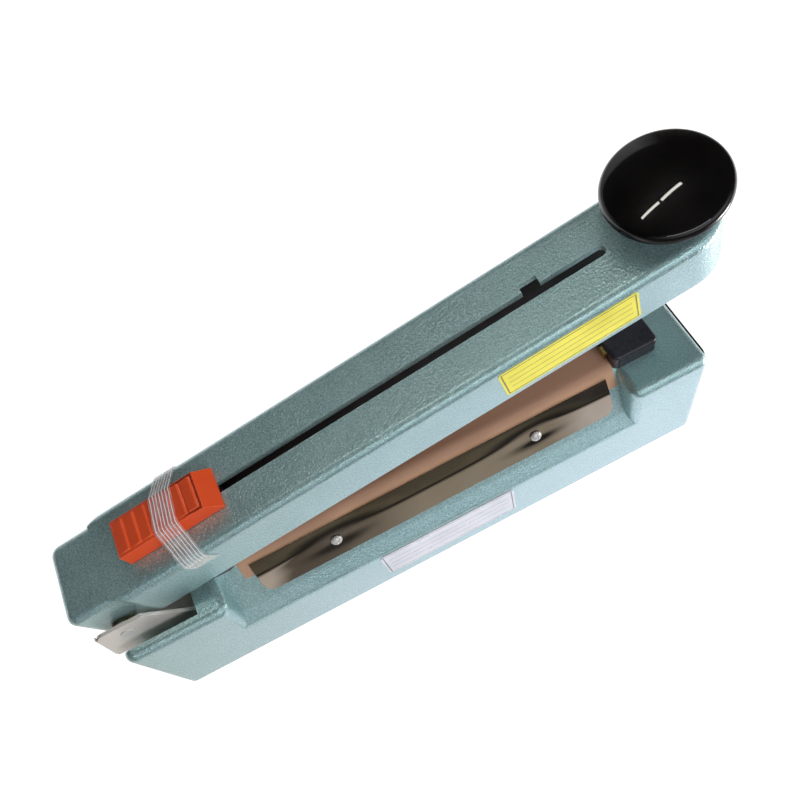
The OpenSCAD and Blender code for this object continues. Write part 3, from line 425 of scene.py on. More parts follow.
def moulded(name, colour, shade, low, high, grains, depth, rub, rubbed, **plain):
    """Moulded plastic, rubber or lacquer: slight shade drift, a grain and rubbed edges."""
    material, tree, shader = new_finish(name, **plain)
    grain = effect(tree, "grain", Grains=grains, Detail=2)["Height"]
    tone = blend(tree, remap(tree, cloud(tree, 35, 4), 0.3, 0.7), srgb(*shade), srgb(*colour))
    tone = blend(tree, effect(tree, "wear", Width=0.0007, Amount=rub)["Mask"], tone, srgb(*rubbed))
    dress(tree, shader, Base_Color=tone, Normal=bump(tree, grain, depth),
          Roughness=smudged(tree, low, high, 80))
    return material


def metal(name, colour, low, high, stretch, depth, stain=(120, 110, 100), stained=0.12, metallic=1.0):
    """Bare or plated metal: drawn lines, smudges, faint stains and bright rubbed edges."""
    material, tree, shader = new_finish(name, Metallic=metallic)
    lines = effect(tree, "brush", Stretch=stretch)["Height"]
    tone = blend(tree, remap(tree, cloud(tree, 90, 5), 0.5, 0.75, 0, stained), srgb(*colour), srgb(*stain))
    bright = tuple(min(255, part + 25) for part in colour)
    tone = blend(tree, effect(tree, "wear", Width=0.0006, Amount=0.3)["Mask"], tone, srgb(*bright))
    dress(tree, shader, Base_Color=tone, Normal=bump(tree, lines, depth),
          Roughness=smudged(tree, low, high, 70))
    return material


def plate_chrome():
    """Bright chrome on bent strip, with the long faint waves that rolling leaves in it."""
    material, tree, shader = new_finish("plate_chrome", Metallic=1)
    drawn = node(tree, "VectorMath", {0: object_spot(tree), 1: (14.0, 60.0, 60.0)}, operation="MULTIPLY")
    rolled = bump(tree, cloud(tree, 1, 1, drawn.outputs[0]), 0.1)
    lines = effect(tree, "brush", Stretch=(30.0, 1500.0, 1500.0))["Height"]
    tone = blend(tree, remap(tree, cloud(tree, 24, 4), 0.4, 0.7), srgb(232, 228, 220), srgb(214, 206, 192))
    dress(tree, shader, Base_Color=tone, Normal=bump(tree, lines, 0.0015, 1, rolled),
          Roughness=smudged(tree, 0.05, 0.13, 40))
    return material


def woven(name, colour, crease, threads, depth, low, high, coated, painted_shade_brown):
    """Woven cloth along the bed: thread relief, shaded gaps, a coated sheen, and a darker brown flat top that
    is painted shade under the arm, partly heat browning.
    """
    material, tree, shader = new_finish(name, Coat_Weight=coated, Coat_Roughness=0.35)
    parts = node(tree, "SeparateXYZ", {0: object_spot(tree)}).outputs
    across = math_node(tree, "SUBTRACT", math_node(tree, "ABSOLUTE", parts[1]), parts[2])
    laid = node(tree, "CombineXYZ", {0: parts[0], 1: across}).outputs[0]
    cloth = effect(tree, "weave", Spot=laid, Threads=threads)
    fuzz = effect(tree, "grain", Grains=2600, Detail=3)["Height"]
    darker = tuple(part * 0.86 for part in colour)
    tone = blend(tree, remap(tree, cloud(tree, 28, 4), 0.35, 0.7), srgb(*colour), srgb(*darker))
    # Painted shade: the cloth's flat top goes darker brown, as in the arm's shadow, partly heat browning too
    painted_shade_mask = remap(tree, parts[2], SOLE + PAINTED_SHADE_Z[0] * MM, SOLE + PAINTED_SHADE_Z[1] * MM, 0, 0.85)
    tone = blend(tree, painted_shade_mask, tone, srgb(*painted_shade_brown))
    tone = blend(tree, remap(tree, cloth["Height"], 0.45, 0.05, 0, 0.65), tone, srgb(*crease))
    tone = blend(tree, remap(tree, fuzz, 0.5, 0.8, 0, 0.18), tone, srgb(*crease))
    dress(tree, shader, Base_Color=tone, Normal=bump(tree, cloth["Height"], depth),
          Roughness=smudged(tree, low, high, 60))
    return material


def blank_form(name, paper, ink, corner, turn, long, high, low, high_rough):
    """Printed film label left blank: a thin frame and plain rules on slightly aged paper."""
    material, tree, shader = new_finish(name, Coat_Weight=0.25, Coat_Roughness=0.15)
    flat = Matrix.Rotation(turn, 3, "Y")
    offset = flat @ Vector(corner) * -1 / MM
    laid = node(tree, "Mapping", {"Vector": object_spot(tree), "Location": offset, "Rotation": (0, turn, 0),
                                  "Scale": (1 / MM, 1 / MM, 1 / MM)}).outputs[0]
    form = effect(tree, "print", Spot=laid, Long=long, High=high, Rules=LABEL_RULES)["Ink"]
    inked = times(tree, form, remap(tree, cloud(tree, 900, 3), 0.3, 0.5, 0.55, 0.9))
    aged = tuple(part * 0.93 for part in paper)
    tone = blend(tree, remap(tree, cloud(tree, 50, 4), 0.4, 0.7), srgb(*paper), srgb(*aged))
    tone = blend(tree, inked, tone, srgb(*ink))
    ripple = effect(tree, "grain", Grains=500, Detail=1)["Height"]
    dress(tree, shader, Base_Color=tone, Normal=bump(tree, ripple, 0.02),
          Roughness=smudged(tree, low, high_rough, 50))
    return material


def clear_film():
    """Clear packing film: barely there, with cloudy glue that whitens its loose near end."""
    material, tree, shader = new_finish("clear_tape", Base_Color=(0.86, 0.84, 0.76, 1))
    glue = cloud(tree, 420, 4)
    aside = remap(tree, node(tree, "SeparateXYZ", {0: object_spot(tree)}).outputs[1], -0.0236, -0.0246)
    cloudy = remap(tree, glue, 0.35, 0.7, 0.06, 0.22)
    loose = times(tree, aside, remap(tree, glue, 0.3, 0.7, 0.35, 0.6))
    dress(tree, shader, Alpha=math_node(tree, "MAXIMUM", cloudy, loose), Normal=bump(tree, glue, 0.05),
          Roughness=smudged(tree, 0.12, 0.3, 200))
    return material


def polished_knob():
    """Black moulding, polished on top and left dull under its rim."""
    material, tree, shader = new_finish("black_knob", IOR=1.2, Coat_Roughness=0.03, Coat_IOR=1.55)
    up = node(tree, "SeparateXYZ", {0: node(tree, "TexCoord").outputs["Normal"]}).outputs[2]
    tone = blend(tree, remap(tree, cloud(tree, 40, 4), 0.3, 0.7), srgb(9, 8, 8), srgb(15, 13, 13))
    grain = effect(tree, "grain", Grains=1400, Detail=2)["Height"]
    dress(tree, shader, Base_Color=tone, Coat_Weight=remap(tree, up, -0.05, 0.12),
          Normal=bump(tree, grain, 0.01),
          Roughness=smudged(tree, 0.3, 0.45, 80))
    return material


def lamp_lens():
    """Red moulded lens of the pilot lamp, frosted inside."""
    material, tree, shader = new_finish("red_lens", Transmission_Weight=0.6, IOR=1.49)
    frost = effect(tree, "grain", Grains=1800, Detail=2)["Height"]
    tone = blend(tree, remap(tree, frost, 0.3, 0.7), srgb(168, 12, 10), srgb(214, 30, 22))
    dress(tree, shader, Base_Color=tone, Normal=bump(tree, frost, 0.03),
          Roughness=smudged(tree, 0.08, 0.22, 90))
    return material


NAMEPLATE_LOW, NAMEPLATE_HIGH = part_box("nameplate")
ARM_LABEL_CORNER = arm_point(221.5, -24, 79.3)
ARM_LABEL_SIZE = (69, 22.4)
LABEL_RULES = 5


def all_finishes():
    """One finish for each of the record's material slots."""
    made = [
        hammered_enamel(),
        plate_chrome(),
        clear_film(),
        lamp_lens(),
        polished_knob(),
        metal("zinc_sheet", (176, 178, 178), 0.28, 0.5, ALONG_X, 0.012, (130, 128, 122), 0.3),
        metal("bright_steel", (214, 211, 206), 0.28, 0.42, ALONG_X, 0.006, metallic=0.5),
        metal("spring_steel", (150, 150, 152), 0.2, 0.4, ALONG_Z, 0.01, (86, 74, 62), 0.35),
        metal("ribbon_steel", (190, 180, 168), 0.2, 0.35, ALONG_X, 0.008, (120, 90, 70), 0.3),
        metal("blade_steel", (212, 214, 216), 0.1, 0.22, ALONG_Z, 0.006),
        metal("bracket_chrome", (226, 218, 210), 0.35, 0.46, ALONG_X, 0.006, (160, 150, 138), 0.15,
              metallic=0.5),
        metal("grey_aluminium", (150, 152, 154), 0.3, 0.48, ALONG_X, 0.02, (96, 92, 88), 0.35),
        metal("core_iron", (96, 98, 104), 0.4, 0.6, ALONG_Y, 0.03, (88, 60, 42), 0.4),
        metal("coil_copper", (196, 112, 72), 0.22, 0.4, ALONG_Y, 0.05, (120, 60, 38), 0.3),
        metal("brass_terminal", (206, 172, 104), 0.2, 0.36, ALONG_X, 0.01, (140, 104, 60), 0.35),
        metal("brass_bush", (138, 118, 88), 0.3, 0.45, ALONG_Y, 0.012, (120, 92, 56), 0.35),
        moulded("black_rubber", (40, 40, 41), (30, 30, 31), 0.55, 0.8, 1400, 0.06, 0.3, (86, 84, 82)),
        moulded("red_silicone", (172, 62, 48), (148, 50, 40), 0.45, 0.65, 1200, 0.04, 0.2, (206, 120, 104)),
        moulded("black_bakelite", (42, 40, 46), (32, 30, 35), 0.22, 0.36, 1700, 0.05, 0.4, (104, 102, 106)),
        moulded("black_plastic", (34, 34, 36), (26, 26, 28), 0.3, 0.5, 1600, 0.04, 0.3, (90, 90, 92)),
        moulded("black_panel", (13, 13, 14), (9, 9, 10), 0.4, 0.55, 1500, 0.05, 0.15, (60, 60, 62),
                IOR=1.25),
        moulded("orange_plastic", (222, 80, 34), (212, 72, 28), 0.3, 0.46, 1500, 0.04, 0.5, (244, 150, 120)),
        moulded("green_board", (34, 98, 58), (26, 80, 48), 0.3, 0.45, 900, 0.03, 0.3, (120, 160, 110)),
        # The last colour of each cloth is the painted shade on its flat top, partly heat browning
        woven("brown_cloth", (184, 144, 114), (128, 88, 60), 1500, 0.07, 0.42, 0.6, 0.25, (138, 102, 80)),
        woven("tan_fabric", (196, 168, 128), (120, 92, 62), 1100, 0.09, 0.6, 0.8, 0.0, (160, 128, 92)),
        blank_form("white_label", (228, 227, 232), (74, 76, 88), NAMEPLATE_LOW, 0,
                   (NAMEPLATE_HIGH.x - NAMEPLATE_LOW.x) / MM, (NAMEPLATE_HIGH.z - NAMEPLATE_LOW.z) / MM,
                   0.25, 0.4),
        blank_form("yellow_label", (238, 224, 32), (58, 56, 30), ARM_LABEL_CORNER, OPEN,
                   *ARM_LABEL_SIZE, 0.3, 0.45),
    ]
    return {material.name: material for material in made}


FINISHES = all_finishes()


def soften(piece, width):
    """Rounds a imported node's sharp edges by a width in millimetres, and shades its faces evenly."""
    merge = piece.modifiers.new("one_skin", "WELD")
    merge.merge_threshold = 2e-6
    flat = piece.modifiers.new("whole_faces", "DECIMATE")
    flat.decimate_type = "DISSOLVE"
    flat.angle_limit = math.radians(1)
    edge = piece.modifiers.new("soft_edges", "BEVEL")
    edge.width = width * MM
    edge.segments = 3
    edge.limit_method = "ANGLE"
    edge.angle_limit = math.radians(32)
    edge.miter_outer = "MITER_ARC"
    even = piece.modifiers.new("even_shade", "WEIGHTED_NORMAL")
    even.weight = 100


def finish_nodes():
    """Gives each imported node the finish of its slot, and the listed ones soft edges."""
    for row in frame["record"]["subparts"]:
        piece = frame["nodes"][row["node"]]
        piece.data.materials.clear()
        piece.data.materials.append(FINISHES[row["material_slot"]])
        if row["node"] in SOFT_EDGES:
            soften(piece, SOFT_EDGES[row["node"]])


# Meshes

def new_piece(name, points, faces, body, slot, sharp):
    """A closed piece made of points in metres, with its faces turned out, that rides on a body."""
    mesh = bpy.data.meshes.new(name)
    mesh.from_pydata([tuple(point) for point in points], [], faces)
    shell = bmesh.new()
    shell.from_mesh(mesh)
    bmesh.ops.remove_doubles(shell, verts=shell.verts, dist=1e-7)
    bmesh.ops.recalc_face_normals(shell, faces=shell.faces)
    shell.to_mesh(mesh)
    shell.free()
    mesh.shade_smooth()
    mesh.set_sharp_from_angle(angle=math.radians(sharp))
    piece = scene_object(name, mesh)
    piece.data.materials.append(FINISHES[slot])
    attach(piece, body)
    return piece


def lofted(rings):
    """Points and faces of a closed skin over rings of equal count, with a cap at each end."""
    count = len(rings[0])
    points = [point for ring in rings for point in ring]
    faces = []
    for ring in range(len(rings) - 1):
        for step in range(count):
            after = (step + 1) % count
            faces.append((ring * count + step, ring * count + after,
                          (ring + 1) * count + after, (ring + 1) * count + step))
    faces.append(tuple(range(count)))
    faces.append(tuple(range(len(points) - count, len(points))))
    return points, faces


def full_turn(sides):
    """The angles of a full turn, in equal steps."""
    return [2 * math.pi * side / sides for side in range(sides)]


def wire(path, radius, sides):
    """Points and faces of a round wire along a path."""
    rings = []
    across = None
    for index, point in enumerate(path):
        ahead = (path[min(index + 1, len(path) - 1)] - path[max(index - 1, 0)]).normalized()
        if across is None:
            across = ahead.orthogonal().normalized()
        across = (across - ahead * across.dot(ahead)).normalized()
        other = ahead.cross(across)
        rings.append([point + (across * math.cos(turn) + other * math.sin(turn)) * radius
                      for turn in full_turn(sides)])
    return lofted(rings)


def joined(parts):
    """Several skins as one list of points and one of faces."""
    points, faces = [], []
    for some_points, some_faces in parts:
        start = len(points)
        points += some_points
        faces += [tuple(start + corner for corner in face) for face in some_faces]
    return points, faces


# Pieces

def smooth(share):
    """An even start and stop between 0 and 1."""
    share = min(max(share, 0), 1)
    return share * share * (3 - 2 * share)


def bed_side(up, lift):
    """[y, z] of a spot on the bed's side: up from its bend and lifted off it, with the bend eased."""
    lower_out, lower_way = heading(LOWER_LEAN), heading(LOWER_LEAN + QUARTER)
    if up >= PLATE_BEND_SOFT:
        return BED_BEND + heading(UPPER_LEAN + QUARTER) * up + heading(UPPER_LEAN) * lift
    start = BED_BEND - lower_way * PLATE_BEND_SOFT
    if up <= -PLATE_BEND_SOFT:
        return start + lower_way * (up + PLATE_BEND_SOFT) + lower_out * lift
    radius = PLATE_BEND_SOFT / math.tan((UPPER_LEAN - LOWER_LEAN) / 2)
    lean = LOWER_LEAN + (UPPER_LEAN - LOWER_LEAN) * (up / PLATE_BEND_SOFT + 1) / 2
    return start - lower_out * radius + heading(lean) * (radius + lift)


def plate_low(x):
    """Lower edge of a clamp plate, which rises round its two lower corners."""
    from_end = min(x - PLATE_X[0], PLATE_X[1] - x)
    if from_end >= PLATE_CORNER:
        return -PLATE_DOWN
    reach = PLATE_CORNER - from_end
    return -PLATE_DOWN + PLATE_CORNER - math.sqrt(max(PLATE_CORNER ** 2 - reach ** 2, 0))


def plate_dent(x, up):
    """How far the strip is drawn in round its screws."""
    high = ((up - PLATE_SCREW_UP) / DENT_HIGH) ** 2
    return sum(DENT_DEPTH * math.exp(-((x - screw) / DENT_LONG) ** 2 - high) for screw in PLATE_SCREW_X)


def clamp_plate(name, side):
    """Bent bright strip that clamps the cloth, dented where its screws pull it in."""
    corner = [PLATE_CORNER * (1 - math.cos(math.radians(9 * step))) for step in range(10)]
    first, last = PLATE_X[0] + PLATE_CORNER, PLATE_X[1] - PLATE_CORNER
    columns = [PLATE_X[0] + x for x in corner]
    columns += [first + (last - first) * step / PLATE_COLUMNS for step in range(PLATE_COLUMNS + 1)]
    columns += [PLATE_X[1] - x for x in reversed(corner)]
    rings = []
    for x in columns:
        low = plate_low(x)
        heights = [low + (PLATE_UP - low) * row / PLATE_ROWS for row in range(PLATE_ROWS + 1)]
        outside = [(up, PLATE_LIFT + PLATE_T - plate_dent(x, up)) for up in heights]
        inside = [(up, PLATE_LIFT - min(plate_dent(x, up), DENT_BEHIND)) for up in reversed(heights)]
        ring = []
        for up, lift in outside + inside:
            y, z = bed_side(up, lift)
            ring.append(base_point(x, side * y, z))
        rings.append(ring)
    points, faces = lofted(rings)
    piece = new_piece(name + "_strip", points, faces, "base", "plate_chrome", 50)
    edge = piece.modifiers.new("rolled_edge", "BEVEL")
    edge.width = PLATE_EDGE * MM
    edge.segments = 2
    edge.limit_method = "ANGLE"
    edge.angle_limit = math.radians(60)
    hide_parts(name)


def cloth_line(lift):
    """[y, z] points across one strip of cloth: flat on the bed, round its shoulder and down to the clamp."""
    line = [Vector((CLOTH_INNER + (SHOULDER.x - CLOTH_INNER) * step / 8, BED_TOP + lift)) for step in range(8)]
    for step in range(9):
        turn = QUARTER + (UPPER_LEAN - QUARTER) * step / 8
        line.append(SHOULDER + heading(turn) * (SHOULDER_R + lift))
    end = BED_BEND + heading(UPPER_LEAN + QUARTER) * CLOTH_TUCK + heading(UPPER_LEAN) * lift
    start = line[-1]
    line += [start + (end - start) * step / 10 for step in range(1, 11)]
    return line


def seal_cloth(name, side):
    """Slippery brown cloth over a heating ribbon, laid by hand, so it stands off in faint waves."""
    rings = []
    for column in range(CLOTH_COLUMNS + 1):
        x = BED_X[0] + (BED_X[1] - BED_X[0]) * column / CLOTH_COLUMNS
        under = cloth_line(CLOTH_SEAT)
        over = cloth_line(CLOTH_T)
        for index, spot in enumerate(over):
            rise = CLOTH_WAVE * (1 + noise.noise(Vector((x / 21, index / 6, 3.1 * side))))
            out = (spot - under[index]).normalized()
            over[index] = spot + out * rise * smooth(index / 5)
        rings.append([base_point(x, side * y, z) for y, z in under + over[::-1]])
    points, faces = lofted(rings)
    piece = new_piece(name + "_sheet", points, faces, "base", "brown_cloth", 60)
    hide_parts(name)
    middle = cloth_line(CLOTH_T / 2)


def lift_spring():
    """Coil spring with closed ends that lifts the arm."""
    path = []
    low, high = SPRING_Z[0] + WIRE_R, SPRING_Z[1] - WIRE_R
    turns = CURLS + 2 * CLOSED_CURLS
    flat = 2 * WIRE_R * CLOSED_CURLS * CLOSED_PITCH
    for step in range(int(turns * CURL_STEPS) + 1):
        turn = step / CURL_STEPS
        if turn < CLOSED_CURLS:
            z = low + flat * turn / CLOSED_CURLS
        elif turn > turns - CLOSED_CURLS:
            z = high - flat * (turns - turn) / CLOSED_CURLS
        else:
            z = low + flat + (high - low - 2 * flat) * (turn - CLOSED_CURLS) / CURLS
        angle = 2 * math.pi * turn
        path.append(base_point(SPRING_X + SPRING_R * math.cos(angle), SPRING_R * math.sin(angle), z))
    piece = new_piece("lift_spring_coil", *wire(path, WIRE_R * MM, 12), "base", "spring_steel", 40)
    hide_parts("lift_spring")
    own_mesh(piece)


def knob():
    """Turned and polished palm knob: a short neck, a cone, a full round rim and a shallow dome."""
    dome_r, dome_z = 54.84, -28.34
    rim_r, rim_x, rim_z = 4, 23, 17
    neck_r, neck_h, neck_edge, cone_h = 9, 4, 0.4, 9
    meet = 26.9
    profile = [(0, 0), (neck_r - neck_edge, 0), (neck_r, neck_edge), (neck_r, neck_h)]
    profile += [(neck_r + (rim_x - neck_r) * step / 10, neck_h + cone_h * step / 10) for step in range(1, 10)]
    rim_start, rim_end = -math.radians(80), math.radians(90 - meet)
    for step in range(25):
        turn = rim_start + (rim_end - rim_start) * step / 24
        profile.append((rim_x + rim_r * math.cos(turn), rim_z + rim_r * math.sin(turn)))
    for step in range(1, 24):
        lean = math.radians(meet) * (1 - step / 24)
        profile.append((dome_r * math.sin(lean), dome_z + dome_r * math.cos(lean)))
    rings = []
    for radius, z in profile:
        radius = max(radius, 0.01)
        rings.append([arm_point(KNOB_X + radius * math.cos(turn), radius * math.sin(turn), ARM_TOP + z)
                      for turn in full_turn(KNOB_SIDES)])
    piece = new_piece("handle_knob_turned", *lofted(rings), "arm", "black_knob", 35)
    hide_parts("handle_knob")


def screw_form(length):
    """A round-headed screw with a pressed cross, its seat at the origin and its head up, in millimetres."""
    sides, rims, tiny = 64, 22, 0.02
    dome_r = (HEAD_R ** 2 + HEAD_H ** 2) / (2 * HEAD_H)
    rings = []
    for rim in range(rims + 1):
        radius = tiny + (HEAD_R - tiny) * rim / rims
        ring = []
        for turn in full_turn(sides):
            x, y = heading(turn) * radius
            z = HEAD_H - dome_r + math.sqrt(dome_r ** 2 - radius ** 2)
            along = max(abs(x) / CROSS_LONG, abs(y) / CROSS_WIDE)
            athwart = max(abs(y) / CROSS_LONG, abs(x) / CROSS_WIDE)
            pressed = smooth((CROSS_START - min(along, athwart)) / (CROSS_START - CROSS_FULL))
            z -= CROSS_DEEP * pressed * (1 - CROSS_TAPER * radius / HEAD_R)
            ring.append(Vector((x, y, max(z, tiny * rim / rims))))
        rings.append(ring)
    for radius, z in ((HEAD_R, 0), (SHANK_R, 0), (SHANK_R, -length + 0.5), (SHANK_R - 0.5, -length)):
        rings.append([Vector((*heading(turn) * radius, z)) for turn in full_turn(sides)])
    return lofted(rings)


def solids_of(name):
    """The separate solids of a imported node, as lists of points."""
    shell = bmesh.new()
    shell.from_mesh(frame["nodes"][name].data)
    bmesh.ops.remove_doubles(shell, verts=shell.verts, dist=1e-6)
    left, found = set(shell.verts), []
    while left:
        reached, edge = set(), [min(left, key=lambda vert: vert.index)]
        while edge:
            vert = edge.pop()
            if vert not in reached:
                reached.add(vert)
                edge += [link.other_vert(vert) for link in vert.link_edges]
        left -= reached
        found.append([vert.co.copy() for vert in reached])
    shell.free()
    return found


def cross_screws(name, outward):
    """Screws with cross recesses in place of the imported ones. outward gives a head's way from its middle."""
    parts = []
    for index, solid in enumerate(solids_of(name)):
        middle = sum(solid, Vector()) / len(solid)
        way = Vector(outward(middle)).normalized()
        along = [point.dot(way) for point in solid]
        top, bottom = max(along), min(along)
        flat = [point - way * point.dot(way) for point in solid]
        low = Vector([min(point[axis] for point in flat) for axis in range(3)])
        high = Vector([max(point[axis] for point in flat) for axis in range(3)])
        seat = (low + high) / 2 + way * (top - HEAD_H * MM)
        points, faces = screw_form((top - bottom) / MM - HEAD_H)
        driven = Matrix.Rotation(FIRST_TURN + NEXT_TURN * index, 3, "Z").to_quaternion()
        turned = way.to_track_quat("Z", "Y") @ driven
        parts.append(([seat + turned @ (point * MM) for point in points], faces))
    piece = new_piece(name + "_cross", *joined(parts), "base", "bright_steel", 35)
    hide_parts(name)


def all_screws():
    """Every screw whose head shows."""
    out, up = heading(LOWER_LEAN)
    cross_screws("clamp_screws", lambda middle: (0, math.copysign(out, middle.y), up))
    cross_screws("panel_screws", lambda middle: (1, 0, 0))
    cross_screws("bottom_screws", lambda middle: (0, 0, -1))
    cross_screws("bracket_screws", lambda middle: (0, 0, 1))


def tape_line():
    """[y, z, drift] along the transport tape: from the arm's near side over the slider to its far side."""
    centre = Vector((ARM_HALF - ARM_R, ARM_TOP - ARM_R))
    reach = ARM_R + TAPE_GAP
    ridge = Vector((SLIDER_TOP_HALF - SLIDER_EDGE, SLIDER_TOP + TAPE_GAP))
    away = ridge - centre
    touch = math.atan2(away.y, away.x) - math.acos(reach / away.length)
    half = [Vector((ARM_HALF + TAPE_GAP, TAPE_LOW + (centre.y - TAPE_LOW) * step / 6)) for step in range(6)]
    half += [centre + heading(touch * step / 8) * reach for step in range(9)]
    last = half[-1]
    half += [last + (ridge - last) * step / 10 for step in range(1, 11)]
    half += [ridge + Vector((-ridge.x * step / 6, TAPE_CROWN * smooth(step / 6))) for step in range(1, 7)]
    stations = [(-ARM_HALF - 12, 3.5), (-ARM_HALF, -1), (-SLIDER_TOP_HALF, -2), (SLIDER_TOP_HALF, 0.1),
                (ARM_HALF, -0.1), (ARM_HALF + 12, 1)]

    def drift(run):
        for (before, low), (after, high) in zip(stations, stations[1:]):
            if run <= after:
                return low + (high - low) * (run - before) / (after - before)
        return stations[-1][1]

    line = []
    whole = [(-spot.x, spot.y) for spot in half] + [(spot.x, spot.y) for spot in reversed(half[:-1])]
    for y, z in whole:
        run = math.copysign(abs(y) + max(ARM_TOP - ARM_R - z, 0) * (abs(y) > ARM_HALF - 1), y)
        line.append((y, z, drift(run)))
    return line


def transport_tape():
    """Fibre tape that holds the thumb piece for transport: a clear film with white strands along it."""
    line = tape_line()
    out = []
    for index in range(len(line)):
        before, after = line[max(index - 1, 0)], line[min(index + 1, len(line) - 1)]
        way = Vector((after[0] - before[0], after[1] - before[1])).normalized()
        out.append(Vector((-way.y, way.x)))
    rings = []
    for index, (y, z, drift) in enumerate(line):
        top, under = [], []
        for step in range(TAPE_STEPS + 1):
            share = step / TAPE_STEPS - 0.5
            tear = 0.0
            if index in (0, len(line) - 1):
                tear = TAPE_TEAR * (1 + noise.noise(Vector((step * 0.9, index, 1.7))))
            x = TAPE_X + drift + share * TAPE_W
            wrinkle = TAPE_WRINKLE * noise.noise(Vector((x / 3, y / 5, z / 5)))
            for lift, row in ((TAPE_T + wrinkle, top), (wrinkle, under)):
                row.append(arm_point(x, y + out[index].x * lift, z + out[index].y * lift + tear))
        rings.append(top + under[::-1])
    film = new_piece("transport_tape_film", *lofted(rings), "cutter", "clear_tape", 70)
    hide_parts("transport_tape")
    parts = []
    for strand in range(STRANDS):
        share = (strand + 0.5) / STRANDS - 0.5
        path = []
        for index, (y, z, drift) in enumerate(line):
            if y < 0 and z < STRAND_END:
                continue
            sway = STRAND_SWAY * noise.noise(Vector((strand * 3.3, y / 9, z / 9)))
            x = TAPE_X + drift + share * (TAPE_W - STRAND_MARGIN) + sway
            lift = TAPE_T + STRAND_LIFT
            path.append(arm_point(x, y + out[index].x * lift, z + out[index].y * lift))
        parts.append(wire(path, STRAND_R * MM, 6))
    new_piece("transport_tape_strands", *joined(parts), "cutter", "white_label", 60)


def dial_numbers():
    """Plain numbers on the dial's skirt, and the mark on the panel that they are read against."""
    parts = []
    for index in range(DIAL_NUMBERS):
        curve = bpy.data.curves.new("number", "FONT")
        curve.body = str(index + 1)
        curve.size = NUMBER_SIZE
        curve.extrude = NUMBER_T
        curve.align_x = "CENTER"
        curve.align_y = "CENTER"
        holder = scene_object("number", curve)
        bpy.context.view_layer.update()
        mesh = bpy.data.meshes.new_from_object(holder.evaluated_get(bpy.context.evaluated_depsgraph_get()))
        turn = math.radians(-DIAL_SWEEP / 2 + DIAL_SWEEP * index / (DIAL_NUMBERS - 1))
        points = []
        for vert in mesh.vertices:
            x, y = vert.co.x, vert.co.y + NUMBER_R
            across = x * math.cos(turn) + y * math.sin(turn)
            up = y * math.cos(turn) - x * math.sin(turn)
            points.append(base_point(DIAL_FACE_X + vert.co.z + NUMBER_LIFT, across, DIAL_Z + up))
        parts.append((points, [tuple(face.vertices) for face in mesh.polygons]))
        bpy.data.objects.remove(holder)
        bpy.data.curves.remove(curve)
        bpy.data.meshes.remove(mesh)
    new_piece("dial_numbers", *joined(parts), "timer_dial", "white_label", 30)
    arrow = ((-1.3, 20.5), (1.3, 20.5), (0, 17.2))
    rings = [[base_point(PANEL_FACE_X + lift, y, DIAL_Z + z) for y, z in arrow] for lift in (0, 0.1)]
    new_piece("dial_mark", *lofted(rings), "base", "white_label", 30)


finish_nodes()
lift_spring()
for side, label in ((-1, "near"), (1, "far")):
    seal_cloth("seal_cloth_" + label, side)
    clamp_plate("clamp_plate_" + label, side)
all_screws()
knob()
transport_tape()
dial_numbers()


# Stage

ROOM_R = 2.4
WALL_TURN = [math.radians(angle) for angle in (60, 72, 170, 140)]
FRONT_TURN = [math.radians(angle) for angle in (-150, -80, -15, -40)]
FRONT_RISE = (0.1, 0.2, 0.6, 0.45)


def stage_piece(name, points, faces, material):
    """A piece of the stage, which isn't part of the sealer."""
    mesh = bpy.data.meshes.new(name)
    mesh.from_pydata(points, [], faces)
    piece = scene_object(name, mesh)
    piece.data.materials.append(material)
    return piece


def stage_plane(name, centre, across, up, material):
    """A flat stage piece round a middle point, with its two half extents."""
    centre, across, up = Vector(centre), Vector(across), Vector(up)
    corners = [tuple(centre + across * a + up * b) for a, b in ((-1, -1), (1, -1), (1, 1), (-1, 1))]
    return stage_piece(name, corners, [(0, 1, 2, 3)], material)


def bare_tree(holder):
    """The emptied node tree of a new material or world."""
    holder.use_nodes = True
    holder.node_tree.nodes.clear()
    return holder.node_tree


def show(tree, surface, kind="OutputMaterial"):
    """Makes a shader the one that a tree puts out."""
    tree.links.new(surface, node(tree, kind).inputs["Surface"])


def seen_directly(tree):
    """1 for rays that show the background itself: from the camera, off gloss or through glass."""
    rays = node(tree, "LightPath").outputs
    shown = math_node(tree, "MAXIMUM", rays["Is Camera Ray"], rays["Is Glossy Ray"])
    return math_node(tree, "MAXIMUM", shown, rays["Is Transmission Ray"])


def floor():
    """Pale floor that shows white and still takes the sealer's shadow."""
    material = bpy.data.materials.new("pale_floor")
    tree = bare_tree(material)
    matt = node(tree, "BsdfDiffuse", {"Color": (0.8, 0.8, 0.8, 1)})
    shaded = node(tree, "BsdfDiffuse", {"Color": (0.3, 0.3, 0.3, 1)})
    white = node(tree, "Emission", {"Color": (1, 1, 1, 1), "Strength": 0.9})
    both = node(tree, "AddShader", {0: shaded.outputs[0], 1: white.outputs[0]})
    mixed = node(tree, "MixShader", {0: seen_directly(tree), 1: matt.outputs[0], 2: both.outputs[0]})
    show(tree, mixed.outputs[0])
    stage_plane("floor", (0, 0, 0), (4, 0, 0), (0, 4, 0), material)


def gloss_only(piece):
    """Makes a stage piece show in gloss and nowhere else."""
    piece.visible_camera = False
    piece.visible_diffuse = False
    piece.visible_shadow = False
    piece.visible_transmission = False


def glow(name, strength=1.0):
    """A material that shines with one strength: the material, its node tree and its Emission node."""
    material = bpy.data.materials.new(name)
    tree = bare_tree(material)
    shine = node(tree, "Emission", {"Strength": strength})
    show(tree, shine.outputs[0])
    return material, tree, shine


def between(tree, value, start, full, gone, fall):
    """Goes from 0 to 1 between start and full, and back to 0 from fall to gone."""
    return times(tree, remap(tree, value, start, full), remap(tree, value, gone, fall))


def graded(tree, value, tone, steps):
    """A colour that takes on others along a value: where each starts, where it has come in, and the colour."""
    for start, end, colour in steps:
        tone = blend(tree, remap(tree, value, start, end), tone, colour)
    return tone


